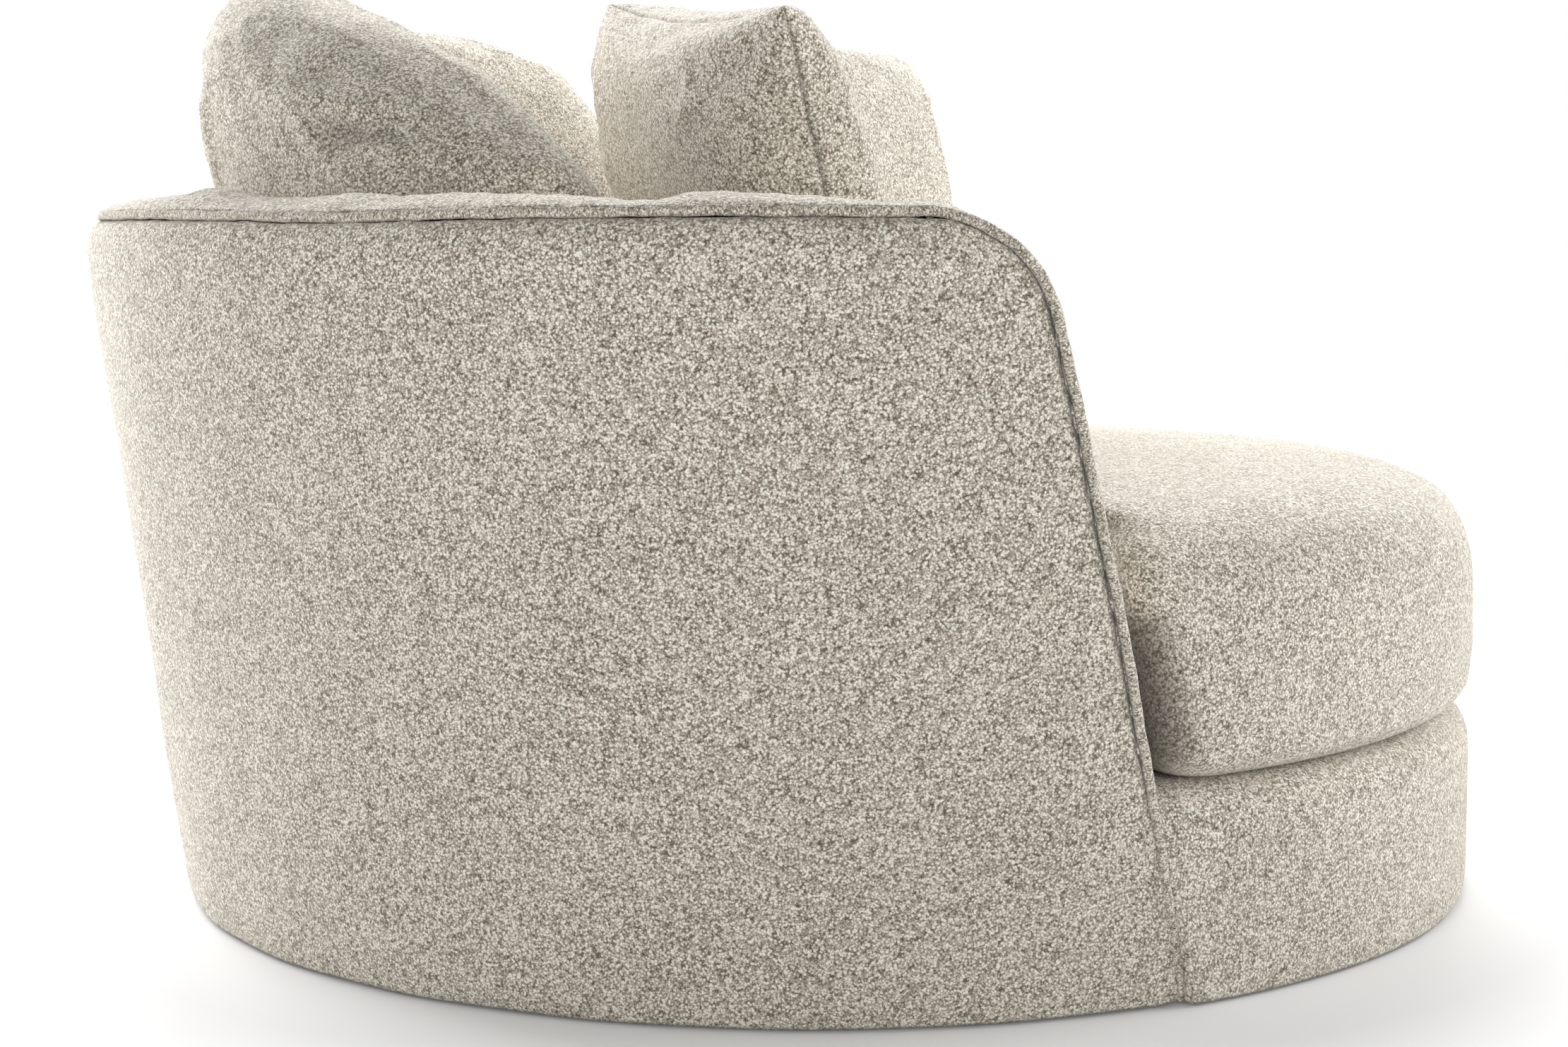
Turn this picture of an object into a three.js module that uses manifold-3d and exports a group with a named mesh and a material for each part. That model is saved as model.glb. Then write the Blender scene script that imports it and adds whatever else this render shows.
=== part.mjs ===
// A round swivel cuddle chair: a tub back that leans outward, a thick round seat cushion, two back
// pillows and two square scatter pillows, on a low swivel that the hem of the covers hides.
// Millimetres, +Z up. The chair faces -Y, and the origin is where the swivel axis meets the floor.
import * as THREE from "three";
import { mergeVertices } from "three/addons/utils/BufferGeometryUtils.js";
import Module from "manifold-3d";

const wasm = await Module();
wasm.setup();

// Fits that every piece shares
const clearance = 0.3; // between two pieces that touch
const cutOverrun = 4; // how far a cutter runs past what it cuts
const facetRoom = 2.6; // between a faceted cover and the straight timber behind it
const mergeGap = 0.001; // points nearer than this are one
const degree = Math.PI / 180;

// The tub: the outside of the back, measured on its fabric
const rimHeight = 677; // centre of the welt along the rim
const tubFootRadius = 656.5; // the leaning wall, carried down to the floor
const tubFlare = 7.16 * degree;
const tubThickness = 110;
const footSpan = 118.1 * degree; // from the middle of the back to the front edge of an arm, at the floor
const rimSpan = 102.9 * degree; // the same at the rim, before the corner is rounded
const armCornerRadius = 80;
const hemHeight = 3;
const hemRound = 24;
const hemTuck = 4;
const rimRound = 45;
const rimTuck = 17;
const coverThickness = 8; // fabric over wadding
const tubColumns = 32;

// The welt: a covered cord sewn into the edge of the outside back
const weltRadius = 4.5;
const weltSet = 3.5; // its centre lies this far inside the cover's face
const weltSides = 6;

// The inside back: one foam pad that rolls over the rim and round the arm fronts
const crownRise = 21; // above the centre of the welt
const armFrontPad = 32; // foam in front of the arm post
const armFrontRound = 30;
const padPastWelt = 8; // the foam's front swells this far past the welt
const crownRound = 45; // where the inside face starts to roll over the rim

// The timber frame
const panelRadius = 647;
const panelThickness = 18;
const hubRadius = 190;
const spokeWidth = 130;
const panelRimWidth = 90;
const postDepth = 28;
const postWidth = 45;
const backPosts = 7;
const backPostSpread = 90 * degree;
const railTopDrop = 38; // the top of the rail lies this far below the welt
const railHeight = 36;
const seatRingTop = 168;
const seatRingThickness = 18;
const seatRingWidth = 98;
const seatLegs = 6;
const seatLegWidth = 60;
const seatLegDepth = 40;
const frontRailThickness = 12;

// The suspension and the deck
const strapWidth = 55;
const strapThickness = 1.8;
const strapReach = 556; // a strap's end, from the swivel axis
const strapsEachWay = 4;
const strapPitch = 190;
const strapWaveSteps = 2; // steps in each half wave
const deckRadius = 560;
const deckTop = 191;
const dustCoverThickness = 1.2;
const dustCoverInner = 330;
const dustCoverRadius = 640;

// The front border: padding and fabric over the front rail
const borderPadding = 12; // over the front rail
const borderDepth = 80; // how far it reaches over the seat ring
const borderRound = 45; // of its top edge
const borderColumns = 16;

// The swivel
const floorPadThickness = 3;
const floorDiscRadius = 320;
const floorDiscThickness = 12;
const racePlate = 2.4;
const raceLip = 3;
const raceWall = 3;
const ballRadius = 4;
const ballPitchRadius = 126;
const ballGap = 0.2;
const balls = 12;
const cageThickness = 2;
const cageWidth = 5;
const racePlateInner = 92;
const upperPlateRadius = 162;
const roundSides = 24;
const discSides = 40;
const screwRadius = 2.5;
const screwHeadRadius = 5.5;
const screwHeadHeight = 3.2;
const screwLength = 11; // into the wood
const screwsEachPlate = 4;
const lowerScrewCircle = 104;
const upperScrewCircle = 150;

// The seat cushion
const cushionHeight = 243;
const cushionFront = 669;
const cushionBack = 564;
const earGap = 22; // from the arm's front edge to the end of the cushion's ear
const earSpan = 4.2 * degree; // the turn over which the ear steps in
const cushionWall = 3; // cover and wadding
const zipHeight = 8;
const zipSpan = 30 * degree;
const zipDepth = 22; // deep enough to reach through the faceted wall
const zipLevelShare = 0.34; // of the cushion's height

// The pillows
const backPillow = { width: 604, height: 470, thick: 215, roundShare: 0.5, drawShare: 0.02 };
const scatterPillow = { width: 480, height: 455, thick: 182, roundShare: 0.06, drawShare: 0.075 };
// How each pillow has settled: how far its ends bend forward, its outer upper corner droops and its
// bottom sags onto the seat, on which side the drooping corner is, its middle's place across the chair
// as a share of its width and over the seat as a share of half its height, its turn about the upright,
// its lean and its roll
const rightBackRest = {
  bend: 84, droop: 163, sag: 19.5, side: -1, acrossShare: -0.5, y: 417, riseShare: 0.9945,
  turn: 31.7 * degree, lean: 18.7 * degree, roll: -9 * degree,
};
const leftBackRest = {
  bend: 20, droop: 105, sag: 43, side: 1, acrossShare: 0.4566, y: 424, riseShare: 1.0966,
  turn: -30 * degree, lean: 21 * degree, roll: -10 * degree,
};
const rightScatterRest = {
  bend: 0, droop: 0, sag: 16.8, side: 1, acrossShare: -0.5417, y: 54, riseShare: 1.0097,
  turn: 17.9 * degree, lean: 22.2 * degree, roll: -4.8 * degree,
};
const leftScatterRest = {
  bend: 0, droop: 34, sag: 3.2, side: 1, acrossShare: 0.5542, y: -20, riseShare: 1.0273,
  turn: -27 * degree, lean: 10 * degree, roll: -2.5 * degree,
};
const pillowWall = 7;
const pillowRoom = 1; // between a pillow's cover and its filling
const pillowSlit = 1.6;
const slitShare = 0.55; // of the pillow's width
const slitDepth = 34;
const pillowSteps = 10;
const fillingSteps = 5;

// Levels that follow from the sizes above
const discBottom = floorPadThickness + clearance;
const discTop = discBottom + floorDiscThickness;
const lowerPlateBottom = discTop + clearance;
const lowerPlateTop = lowerPlateBottom + racePlate;
const ballLevel = lowerPlateTop + ballGap + ballRadius;
const upperPlateBottom = ballLevel + ballRadius + ballGap;
const upperPlateTop = upperPlateBottom + racePlate;
const panelBottom = upperPlateTop + clearance;
const panelTop = panelBottom + panelThickness;
const seatRingBottom = seatRingTop - seatRingThickness;
const seatRingRadius = postInner(seatRingBottom) - clearance;
const strapLevel = seatRingTop + clearance + strapThickness; // middle of the woven deck
const deckBottom = strapLevel + 2 * strapThickness + clearance;
const cushionBottom = deckTop + clearance;
const railTop = rimHeight - railTopDrop;
const railBottom = railTop - railHeight;
const frontRailInner = seatRingRadius + clearance + facetRoom;
const borderBack = frontRailInner + frontRailThickness + facetRoom;
const borderRadius = borderBack + borderPadding;
const borderInner = borderRadius - borderDepth;
const cushionTop = cushionBottom + cushionHeight;

const materials = {
  fabric: new THREE.MeshStandardMaterial({ color: 0xc9c3b6, roughness: 0.95 }),
  foam: new THREE.MeshStandardMaterial({ color: 0xe9e2c8, roughness: 1 }),
  filling: new THREE.MeshStandardMaterial({ color: 0xf2f0ea, roughness: 1 }),
  timber: new THREE.MeshStandardMaterial({ color: 0xc9a878, roughness: 0.7 }),
  webbing: new THREE.MeshStandardMaterial({ color: 0x3a3a3c, roughness: 0.9 }),
  dustCloth: new THREE.MeshStandardMaterial({ color: 0x1c1c1e, roughness: 1 }),
  steel: new THREE.MeshStandardMaterial({ color: 0x9a9ca0, roughness: 0.4, metalness: 1 }),
  nylon: new THREE.MeshStandardMaterial({ color: 0x2a2a2c, roughness: 0.6 }),
  felt: new THREE.MeshStandardMaterial({ color: 0x4a4540, roughness: 1 }),
};

// A point of the chair: the turn is measured from the middle of the back, towards +X
function around(radius, turn, z) {
  return new THREE.Vector3(radius * Math.sin(turn), radius * Math.cos(turn), z);
}

function wallRadius(z) {
  return tubFootRadius + z * Math.tan(tubFlare);
}

// Faces of the timber behind the cover, and of the foam in front of the timber
function postOuter(z) {
  return wallRadius(z) - coverThickness - facetRoom;
}

function postInner(z) {
  return postOuter(z) - postDepth;
}

function padOuter(z) {
  return postInner(z) - clearance - facetRoom;
}

function padInner(z) {
  return wallRadius(z) - tubThickness;
}

// The outside of the back cover: the leaning wall, tucked in at the hem and at the rim
function outerRadius(z) {
  const low = Math.max(0, hemHeight + hemRound - z) / hemRound;
  const high = Math.max(0, z - (rimHeight - rimRound)) / rimRound;
  const tuck = (share) => 1 - Math.sqrt(Math.max(0, 1 - Math.min(1, share) ** 2));
  return wallRadius(z) - hemTuck * tuck(low) - rimTuck * tuck(high);
}

// The turn at which an arm ends at this height, less an inset that follows the edge and its corner
function edgeTurn(z, inset) {
  const lean = footSpan + ((rimSpan - footSpan) * z) / rimHeight;
  const corner = armCornerRadius - inset;
  const above = Math.min(corner, Math.max(0, z - (rimHeight - armCornerRadius)));
  const cut = corner - Math.sqrt(corner * corner - above * above);
  return lean - (inset + cut) / wallRadius(z);
}

function volumeOf(position, index) {
  const p = (i) => new THREE.Vector3().fromArray(position, 3 * i);
  let sum = 0;
  for (let i = 0; i < index.length; i += 3) {
    sum += p(index[i]).dot(p(index[i + 1]).cross(p(index[i + 2])));
  }
  return sum;
}

// A closed geometry from points and triangles, turned so that its faces point out
function closedGeometry(points, index) {
  const position = points.flatMap((p) => [p.x, p.y, p.z]);
  if (volumeOf(position, index) < 0) index.reverse();
  const geometry = new THREE.BufferGeometry();
  geometry.setAttribute("position", new THREE.Float32BufferAttribute(position, 3));
  geometry.setIndex(index);
  return geometry;
}

// Triangles of a section that use all its points, also those on its straight stretches
function sectionTriangles(section) {
  const n = section.length;
  const straight = 1e-6;
  const corners = [...section.keys()].filter((i) => {
    const into = section[i].clone().sub(section[(i + n - 1) % n]).normalize();
    const away = section[(i + 1) % n].clone().sub(section[i]).normalize();
    return Math.abs(into.cross(away)) > straight;
  });
  const outline = corners.map((i) => section[i]);
  let triangles = THREE.ShapeUtils.triangulateShape(outline, []).map((t) => t.map((k) => corners[k]));
  corners.forEach((from, k) => {
    const to = corners[(k + 1) % corners.length];
    let last = from;
    for (let middle = (from + 1) % n; middle !== to; middle = (middle + 1) % n) {
      triangles = triangles.flatMap((t) => {
        if (!t.includes(last) || !t.includes(to)) return [t];
        return [t.map((v) => (v === to ? middle : v)), t.map((v) => (v === last ? middle : v))];
      });
      last = middle;
    }
  });
  return triangles;
}

// Equal loops of points joined one to the next, and closed at both ends by the section's own triangles
function loft(loops, section) {
  const n = section.length;
  const index = [];
  for (let i = 0; i + 1 < loops.length; i += 1) {
    for (let j = 0; j < n; j += 1) {
      const k = (j + 1) % n;
      const [a, b, c, d] = [i * n + j, i * n + k, (i + 1) * n + k, (i + 1) * n + j];
      const [pa, pb, pc, pd] = [loops[i][j], loops[i][k], loops[i + 1][k], loops[i + 1][j]];
      if (pa.distanceTo(pc) <= pb.distanceTo(pd)) index.push(a, b, c, a, c, d);
      else index.push(a, b, d, b, c, d);
    }
  }
  const last = (loops.length - 1) * n;
  const caps = sectionTriangles(section);
  const clockwise = THREE.ShapeUtils.isClockWise(section);
  for (const [a, b, c] of caps) {
    index.push(...(clockwise ? [a, b, c] : [c, b, a]));
    index.push(...(clockwise ? [last + c, last + b, last + a] : [last + a, last + b, last + c]));
  }
  return closedGeometry(loops.flat(), capsAgree(loops, index, n, caps.length));
}

// The caps and the sides must turn the same way: the first side edge tells which way the caps run
function capsAgree(loops, index, n, capCount) {
  const sides = index.length - 6 * capCount;
  const edges = new Set();
  for (let i = 0; i < sides; i += 3) {
    for (let e = 0; e < 3; e += 1) edges.add(index[i + e] + ">" + index[i + ((e + 1) % 3)]);
  }
  const caps = index.slice(sides);
  for (let i = 0; i < caps.length; i += 3) {
    for (let e = 0; e < 3; e += 1) {
      if (edges.has(caps[i + e] + ">" + caps[i + ((e + 1) % 3)])) {
        return index.slice(0, sides).concat(caps.reverse());
      }
    }
  }
  return index;
}

// A profile of [radius, height] pairs turned about the swivel axis
function turned(profile, sides) {
  const points = profile.map(([r, z]) => new THREE.Vector2(r, z));
  const geometry = new THREE.LatheGeometry([...points, points[0].clone()], sides);
  geometry.rotateX(Math.PI / 2);
  return outward(geometry);
}

function outward(geometry) {
  const merged = mergedPosition(geometry);
  const index = Array.from(merged.index.array);
  if (volumeOf(merged.attributes.position.array, index) < 0) merged.setIndex(index.reverse());
  return merged;
}

function mergedPosition(geometry) {
  const bare = new THREE.BufferGeometry();
  bare.setAttribute("position", geometry.getAttribute("position"));
  if (geometry.index) bare.setIndex(geometry.index);
  return mergeVertices(bare, mergeGap);
}

function toSolid(geometry) {
  const merged = mergedPosition(geometry);
  const mesh = new wasm.Mesh({
    numProp: 3,
    vertProperties: merged.attributes.position.array,
    triVerts: new Uint32Array(merged.index.array),
  });
  return new wasm.Manifold(mesh);
}

function fromSolid(solid) {
  const mesh = solid.getMesh();
  const geometry = new THREE.BufferGeometry();
  const points = new Float32Array(mesh.numVert * 3);
  for (let i = 0; i < mesh.numVert; i += 1) {
    points.set(mesh.vertProperties.subarray(i * mesh.numProp, i * mesh.numProp + 3), i * 3);
  }
  geometry.setAttribute("position", new THREE.BufferAttribute(points, 3));
  geometry.setIndex(new THREE.BufferAttribute(mesh.triVerts, 1));
  return geometry;
}

function cut(geometry, ...cutters) {
  return fromSolid(cutters.reduce((solid, c) => solid.subtract(toSolid(c)), toSolid(geometry)));
}

function meet(geometry, other) {
  return fromSolid(toSolid(geometry).intersect(toSolid(other)));
}

function join(geometry, ...others) {
  return fromSolid(others.reduce((solid, o) => solid.add(toSolid(o)), toSolid(geometry)));
}

function plate(shape, bottom, thickness) {
  const options = { depth: thickness, bevelEnabled: false, curveSegments: discSides };
  return new THREE.ExtrudeGeometry(shape, options).translate(0, 0, bottom);
}

function circlePath(radius, x, y, sides) {
  const path = new THREE.Path();
  for (let i = 0; i < sides; i += 1) {
    const turn = (2 * Math.PI * i) / sides;
    const p = [x + radius * Math.cos(turn), y + radius * Math.sin(turn)];
    if (i === 0) path.moveTo(...p);
    else path.lineTo(...p);
  }
  path.closePath();
  return path;
}

function discShape(radius) {
  return new THREE.Shape(circlePath(radius, 0, 0, discSides).getPoints());
}

const screwSides = 8;
const screwRoom = screwRadius + clearance;

function screwHoles(circle, phase) {
  return Array.from({ length: screwsEachPlate }, (_, i) => {
    const turn = phase + (2 * Math.PI * i) / screwsEachPlate;
    return circlePath(screwRoom, circle * Math.cos(turn), circle * Math.sin(turn), screwSides);
  });
}

const lowerPhase = 0;
const upperPhase = 45 * degree;

// The swivel: a felt-faced wooden disc on the floor, two pressed race plates, and balls in a cage
function floorPad() {
  return plate(discShape(floorDiscRadius), 0, floorPadThickness);
}

function floorDisc() {
  const shape = discShape(floorDiscRadius);
  shape.holes.push(...screwHoles(lowerScrewCircle, lowerPhase));
  return plate(shape, discBottom, floorDiscThickness);
}

function racePlateRing(outer, circle, phase, bottom) {
  const shape = discShape(outer);
  shape.holes.push(circlePath(racePlateInner, 0, 0, roundSides), ...screwHoles(circle, phase));
  return plate(shape, bottom, racePlate);
}

const raceRoom = ballRadius + ballGap;
const lowerLipInner = ballPitchRadius - raceRoom - raceWall;
const lowerLipOuter = ballPitchRadius + raceRoom + raceWall;

function lipRing(inner, outer, bottom, top) {
  return turned([[inner, bottom], [outer, bottom], [outer, top], [inner, top]], roundSides);
}

function lowerRace() {
  const outer = lowerLipOuter;
  const ring = racePlateRing(outer, lowerScrewCircle, lowerPhase, lowerPlateBottom);
  const lipTop = lowerPlateTop + raceLip;
  const innerLip = lipRing(lowerLipInner, lowerLipInner + raceWall, lowerPlateBottom, lipTop);
  const outerLip = lipRing(outer - raceWall, outer * Math.cos(Math.PI / discSides), lowerPlateBottom, lipTop);
  return join(ring, innerLip, outerLip);
}

function upperRace() {
  const ring = racePlateRing(upperPlateRadius, upperScrewCircle, upperPhase, upperPlateBottom);
  const lipBottom = upperPlateBottom - raceLip;
  const skirtInner = lowerLipOuter + 2 * raceWall;
  const skirt = lipRing(skirtInner, skirtInner + raceWall, lipBottom, upperPlateTop);
  return join(ring, skirt);
}

function ballCage() {
  const low = ballLevel - cageThickness / 2;
  const half = cageWidth / 2;
  const ring = lipRing(ballPitchRadius - half, ballPitchRadius + half, low, low + cageThickness);
  const ballFaces = [6, 4];
  const places = Array.from({ length: balls }, (_, i) => {
    const turn = (2 * Math.PI * i) / balls;
    const ball = new THREE.SphereGeometry(ballRadius, ...ballFaces).rotateX(Math.PI / 2);
    return ball.translate(ballPitchRadius * Math.cos(turn), ballPitchRadius * Math.sin(turn), ballLevel);
  });
  return join(ring, ...places);
}

// A pan-head wood screw with its head's seat at the origin and its shank along -Z
function screw() {
  const profile = [
    [0, -screwLength],
    [screwRadius, -screwLength + screwRadius],
    [screwRadius, 0],
    [screwHeadRadius, 0],
    [screwHeadRadius, screwHeadHeight / 2],
    [screwHeadRadius / 2, screwHeadHeight],
    [0, screwHeadHeight],
  ].map(([r, z]) => new THREE.Vector2(r, z));
  return outward(new THREE.LatheGeometry(profile, screwSides).rotateX(Math.PI / 2));
}

// The base panel: a plywood wheel whose hub carries the upper race plate
function basePanel() {
  const shape = discShape(panelRadius);
  const inner = panelRadius - panelRimWidth;
  const halfSpoke = spokeWidth / 2;
  const windowSteps = 6;
  for (let quarter = 0; quarter < 4; quarter += 1) {
    const path = [];
    const arc = (radius, reverse) => {
      const start = Math.asin(halfSpoke / radius);
      for (let i = 0; i <= windowSteps; i += 1) {
        const share = (reverse ? windowSteps - i : i) / windowSteps;
        const turn = start + share * (Math.PI / 2 - 2 * start) + (quarter * Math.PI) / 2;
        path.push(new THREE.Vector2(radius * Math.cos(turn), radius * Math.sin(turn)));
      }
    };
    arc(inner, false);
    arc(hubRadius, true);
    shape.holes.push(new THREE.Path(path));
  }
  shape.holes.push(...screwHoles(upperScrewCircle, upperPhase));
  return plate(shape, panelBottom, panelThickness);
}

function seatRing() {
  const shape = discShape(seatRingRadius);
  shape.holes.push(circlePath(seatRingRadius - seatRingWidth, 0, 0, discSides));
  return plate(shape, seatRingBottom, seatRingThickness);
}

function seatLeg() {
  const height = seatRingBottom - panelTop - 2 * clearance;
  const leg = new THREE.BoxGeometry(seatLegWidth, seatLegDepth, height);
  return leg.translate(0, 0, height / 2);
}

// A post that leans with the wall; its turn may change with height, as on an arm's front edge
function post(turnAt, levels) {
  const loops = levels.map((z) => {
    const turn = turnAt(z);
    const across = new THREE.Vector3(Math.cos(turn), -Math.sin(turn), 0);
    const side = (radius, half) => around(radius, turn, z).addScaledVector(across, half);
    const [inner, outer, half] = [postInner(z), postOuter(z), postWidth / 2];
    return [side(inner, -half), side(outer, -half), side(outer, half), side(inner, half)];
  });
  const section = [[0, 0], [1, 0], [1, 1], [0, 1]].map(([x, y]) => new THREE.Vector2(x, y));
  return loft(loops, section);
}

const postFoot = panelTop + clearance;
const postTop = railBottom - clearance;

function backPost(turn) {
  return post(() => turn, [postFoot, postTop]);
}

const armPostInset = armFrontPad + facetRoom + postWidth / 2;
const armPostLevels = 7;

function armPost(side) {
  const levels = Array.from({ length: armPostLevels }, (_, i) => {
    return postFoot + ((postTop - postFoot) * i) / (armPostLevels - 1);
  });
  return post((z) => side * edgeTurn(z, armPostInset), levels);
}

// Shares of the arm's turn at which the tub's columns stand; nested shells share them to keep their gaps
function columnShares() {
  return Array.from({ length: tubColumns + 1 }, (_, i) => (2 * i) / tubColumns - 1);
}

// A shell of the tub: its ends follow the arm's edge at an inset
function tubLoft(section, inset) {
  const loops = columnShares().map((share) => {
    return section.map(([r, z]) => around(r, share * edgeTurn(z, inset), z));
  });
  return loft(loops, section.map(([r, z]) => new THREE.Vector2(r, z)));
}

function topRail() {
  const levels = [railBottom, (railBottom + railTop) / 2, railTop];
  const outer = levels.map((z) => [postOuter(z), z]);
  const inner = levels.map((z) => [postInner(z), z]).reverse();
  return tubLoft([...outer, ...inner], armFrontPad + facetRoom);
}

// The outside back: fabric and wadding from the hem to the welt
function outsideBack() {
  const inset = weltRadius + clearance;
  const top = rimHeight - inset;
  const cornerFoot = rimHeight - armCornerRadius;
  const hemShares = [0, 0.3, 1];
  const wallShares = [0.35, 0.7, 1];
  const cornerTurns = [25, 45, 62, 77, 90].map((t) => t * degree);
  const wallFoot = hemHeight + hemRound;
  const levels = [
    ...hemShares.map((s) => hemHeight + s * hemRound),
    ...wallShares.map((s) => wallFoot + s * (cornerFoot - wallFoot)),
    ...cornerTurns.map((t) => cornerFoot + (top - cornerFoot) * Math.sin(t)),
  ];
  const outer = levels.map((z) => [outerRadius(z), z]);
  const inner = levels.map((z) => [outerRadius(z) - coverThickness, z]).reverse();
  return tubLoft([...outer, ...inner], inset);
}

// The inside back: foam from the seat ring up over the rail to the welt, wrapped round the arm fronts.
// A column is thin where the timber stands behind it, and full in front of the arm post
function padSection(full, innerTuck, outerTuck) {
  const foot = (full ? deckTop : seatRingTop) + clearance;
  const innerTop = rimHeight - crownRound;
  const cornerFoot = rimHeight - armCornerRadius;
  const weltInner = outerRadius(rimHeight) - weltSet - weltRadius - clearance;
  const behindCover = (z) => outerRadius(z) - coverThickness - facetRoom;
  const hookBottom = railTop + clearance;
  const faceShares = [0, 0.25, 0.5, 0.75, 1];
  const crownTurns = [25, 50, 75, 100, 125, 150].map((t) => t * degree);
  const lower = faceShares.map((s) => foot + s * (cornerFoot - foot));
  const levels = [...lower, (cornerFoot + innerTop) / 2];
  const from = padInner(innerTop) + innerTuck;
  const to = weltInner - outerTuck;
  const middle = (from + to) / 2;
  const innerRise = rimHeight + crownRise - innerTop - innerTuck / 2;
  const outerRise = crownRise - innerTuck / 2;
  const crown = crownTurns.map((t) => {
    const [floor, rise] = t < Math.PI / 2 ? [innerTop, innerRise] : [rimHeight, outerRise];
    return [middle - ((to - from) / 2) * Math.cos(t), floor + rise * Math.sin(t)];
  });
  const inner = [...levels, innerTop].map((z) => [padInner(z) + innerTuck, z]);
  const thin = levels.map((z) => [padOuter(z), z]).reverse();
  const thick = levels.map((z) => [behindCover(z) - outerTuck, z]).reverse();
  const hook = [to, rimHeight];
  const behindRail = [behindCover(hookBottom) - outerTuck, hookBottom];
  const corner = full ? behindRail : [padOuter(hookBottom), hookBottom];
  return [...inner, ...crown, hook, behindRail, corner, ...(full ? thick : thin)];
}

// Insets of the pad's end columns from the arm's edge, and how far the pad is tucked in there as a
// share of the rounding, on its inner and its outer side
const padEnds = [
  { inset: -padPastWelt, innerShare: 1, outerShare: 0.5 },
  { inset: -padPastWelt / 4, innerShare: 0.5, outerShare: 0.1 },
  { inset: armFrontPad / 3, innerShare: 0.13, outerShare: 0 },
  { inset: armFrontPad, innerShare: 0, outerShare: 0 },
];

function insideBack() {
  const column = (side, turnAt, full, innerTuck, outerTuck) => {
    return padSection(full, innerTuck, outerTuck).map(([r, z]) => around(r, side * turnAt(z), z));
  };
  const end = (side) => padEnds.map(({ inset, innerShare, outerShare }) => {
    const turnAt = (z) => edgeTurn(Math.min(z, rimHeight), inset);
    return column(side, turnAt, true, innerShare * armFrontRound, outerShare * armFrontRound);
  });
  const back = columnShares().map((share) => {
    const last = Math.abs(share) === 1;
    const turnAt = (z) => {
      const level = Math.min(z, rimHeight);
      return last ? edgeTurn(level, armFrontPad + clearance / 2) : Math.abs(share) * edgeTurn(level, 0);
    };
    return column(Math.sign(share), turnAt, false, 0, 0);
  });
  const loops = [...end(-1), ...back, ...end(1).reverse()];
  return loft(loops, padSection(false, 0, 0).map(([r, z]) => new THREE.Vector2(r, z)));
}

// The welt: up one arm's front edge, round the rim and down the other
function welt() {
  const low = hemHeight + weltRadius;
  const cornerFoot = rimHeight - armCornerRadius;
  const armShares = [0, 0.25, 0.5, 0.75, 1];
  const cornerTurns = [25, 45, 62, 77, 90].map((t) => t * degree);
  const at = (z, share) => around(outerRadius(z) - weltSet, share * edgeTurn(z, 0), z);
  const levels = [
    ...armShares.map((s) => low + s * (cornerFoot - low)),
    ...cornerTurns.map((t) => cornerFoot + armCornerRadius * Math.sin(t)),
  ];
  const rising = levels.map((z) => at(z, -1));
  const falling = levels.map((z) => at(z, 1)).reverse();
  const rim = columnShares().slice(1, -1).map((share) => at(rimHeight, share));
  const path = [...rising, ...rim, ...falling];
  const section = Array.from({ length: weltSides }, (_, i) => {
    const turn = (2 * Math.PI * i) / weltSides;
    return new THREE.Vector2(weltRadius * Math.cos(turn), weltRadius * Math.sin(turn));
  });
  const loops = path.map((point, i) => {
    const before = path[Math.max(0, i - 1)];
    const after = path[Math.min(path.length - 1, i + 1)];
    const along = after.clone().sub(before).normalize();
    const out = new THREE.Vector3(point.x, point.y, 0).normalize();
    out.addScaledVector(along, -out.dot(along)).normalize();
    const across = along.clone().cross(out);
    return section.map((p) => point.clone().addScaledVector(out, p.x).addScaledVector(across, p.y));
  });
  return loft(loops, section);
}

// Pieces in front, measured by their turn from the middle of the front
const frontEdge = (z, inset) => Math.PI - edgeTurn(z, 0) - inset / borderRadius;

function frontLoft(section, turnAt, columns) {
  const loops = Array.from({ length: columns + 1 }, (_, i) => {
    const share = (2 * i) / columns - 1;
    return section.map(([r, z]) => around(r, Math.PI + share * turnAt(z), z));
  });
  return loft(loops, section.map(([r, z]) => new THREE.Vector2(r, z)));
}

function frontRail() {
  const [inner, outer] = [frontRailInner, frontRailInner + frontRailThickness];
  const section = [[inner, postFoot], [outer, postFoot], [outer, seatRingTop], [inner, seatRingTop]];
  return frontLoft(section, (z) => frontEdge(z, armFrontPad / 2) - postWidth / borderRadius, borderColumns);
}

// The front border: down the face of the rail, and over it onto the seat ring
function frontBorder() {
  const over = seatRingTop + clearance;
  const faceShares = [[-1, 0], [-0.35, 0.25], [0, 1]]; // tuck and height shares at the hem
  const crownTurns = [0, 30, 55, 75, 90].map((t) => t * degree);
  const outer = faceShares.map(([tuck, up]) => [borderRadius + tuck * hemTuck, hemHeight + up * hemRound]);
  const crown = crownTurns.map((t) => {
    return [borderRadius - borderRound * (1 - Math.cos(t)), deckTop - borderRound * (1 - Math.sin(t))];
  });
  const backShares = [1, 0.75, 0.5, 0.25, 0];
  const section = [
    ...outer,
    ...crown,
    [borderInner, deckTop],
    [borderInner, over],
    ...backShares.map((s) => [borderBack, hemHeight + s * (over - hemHeight)]),
  ];
  return frontLoft(section, (z) => frontEdge(z, weltRadius + clearance), borderColumns);
}

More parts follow.
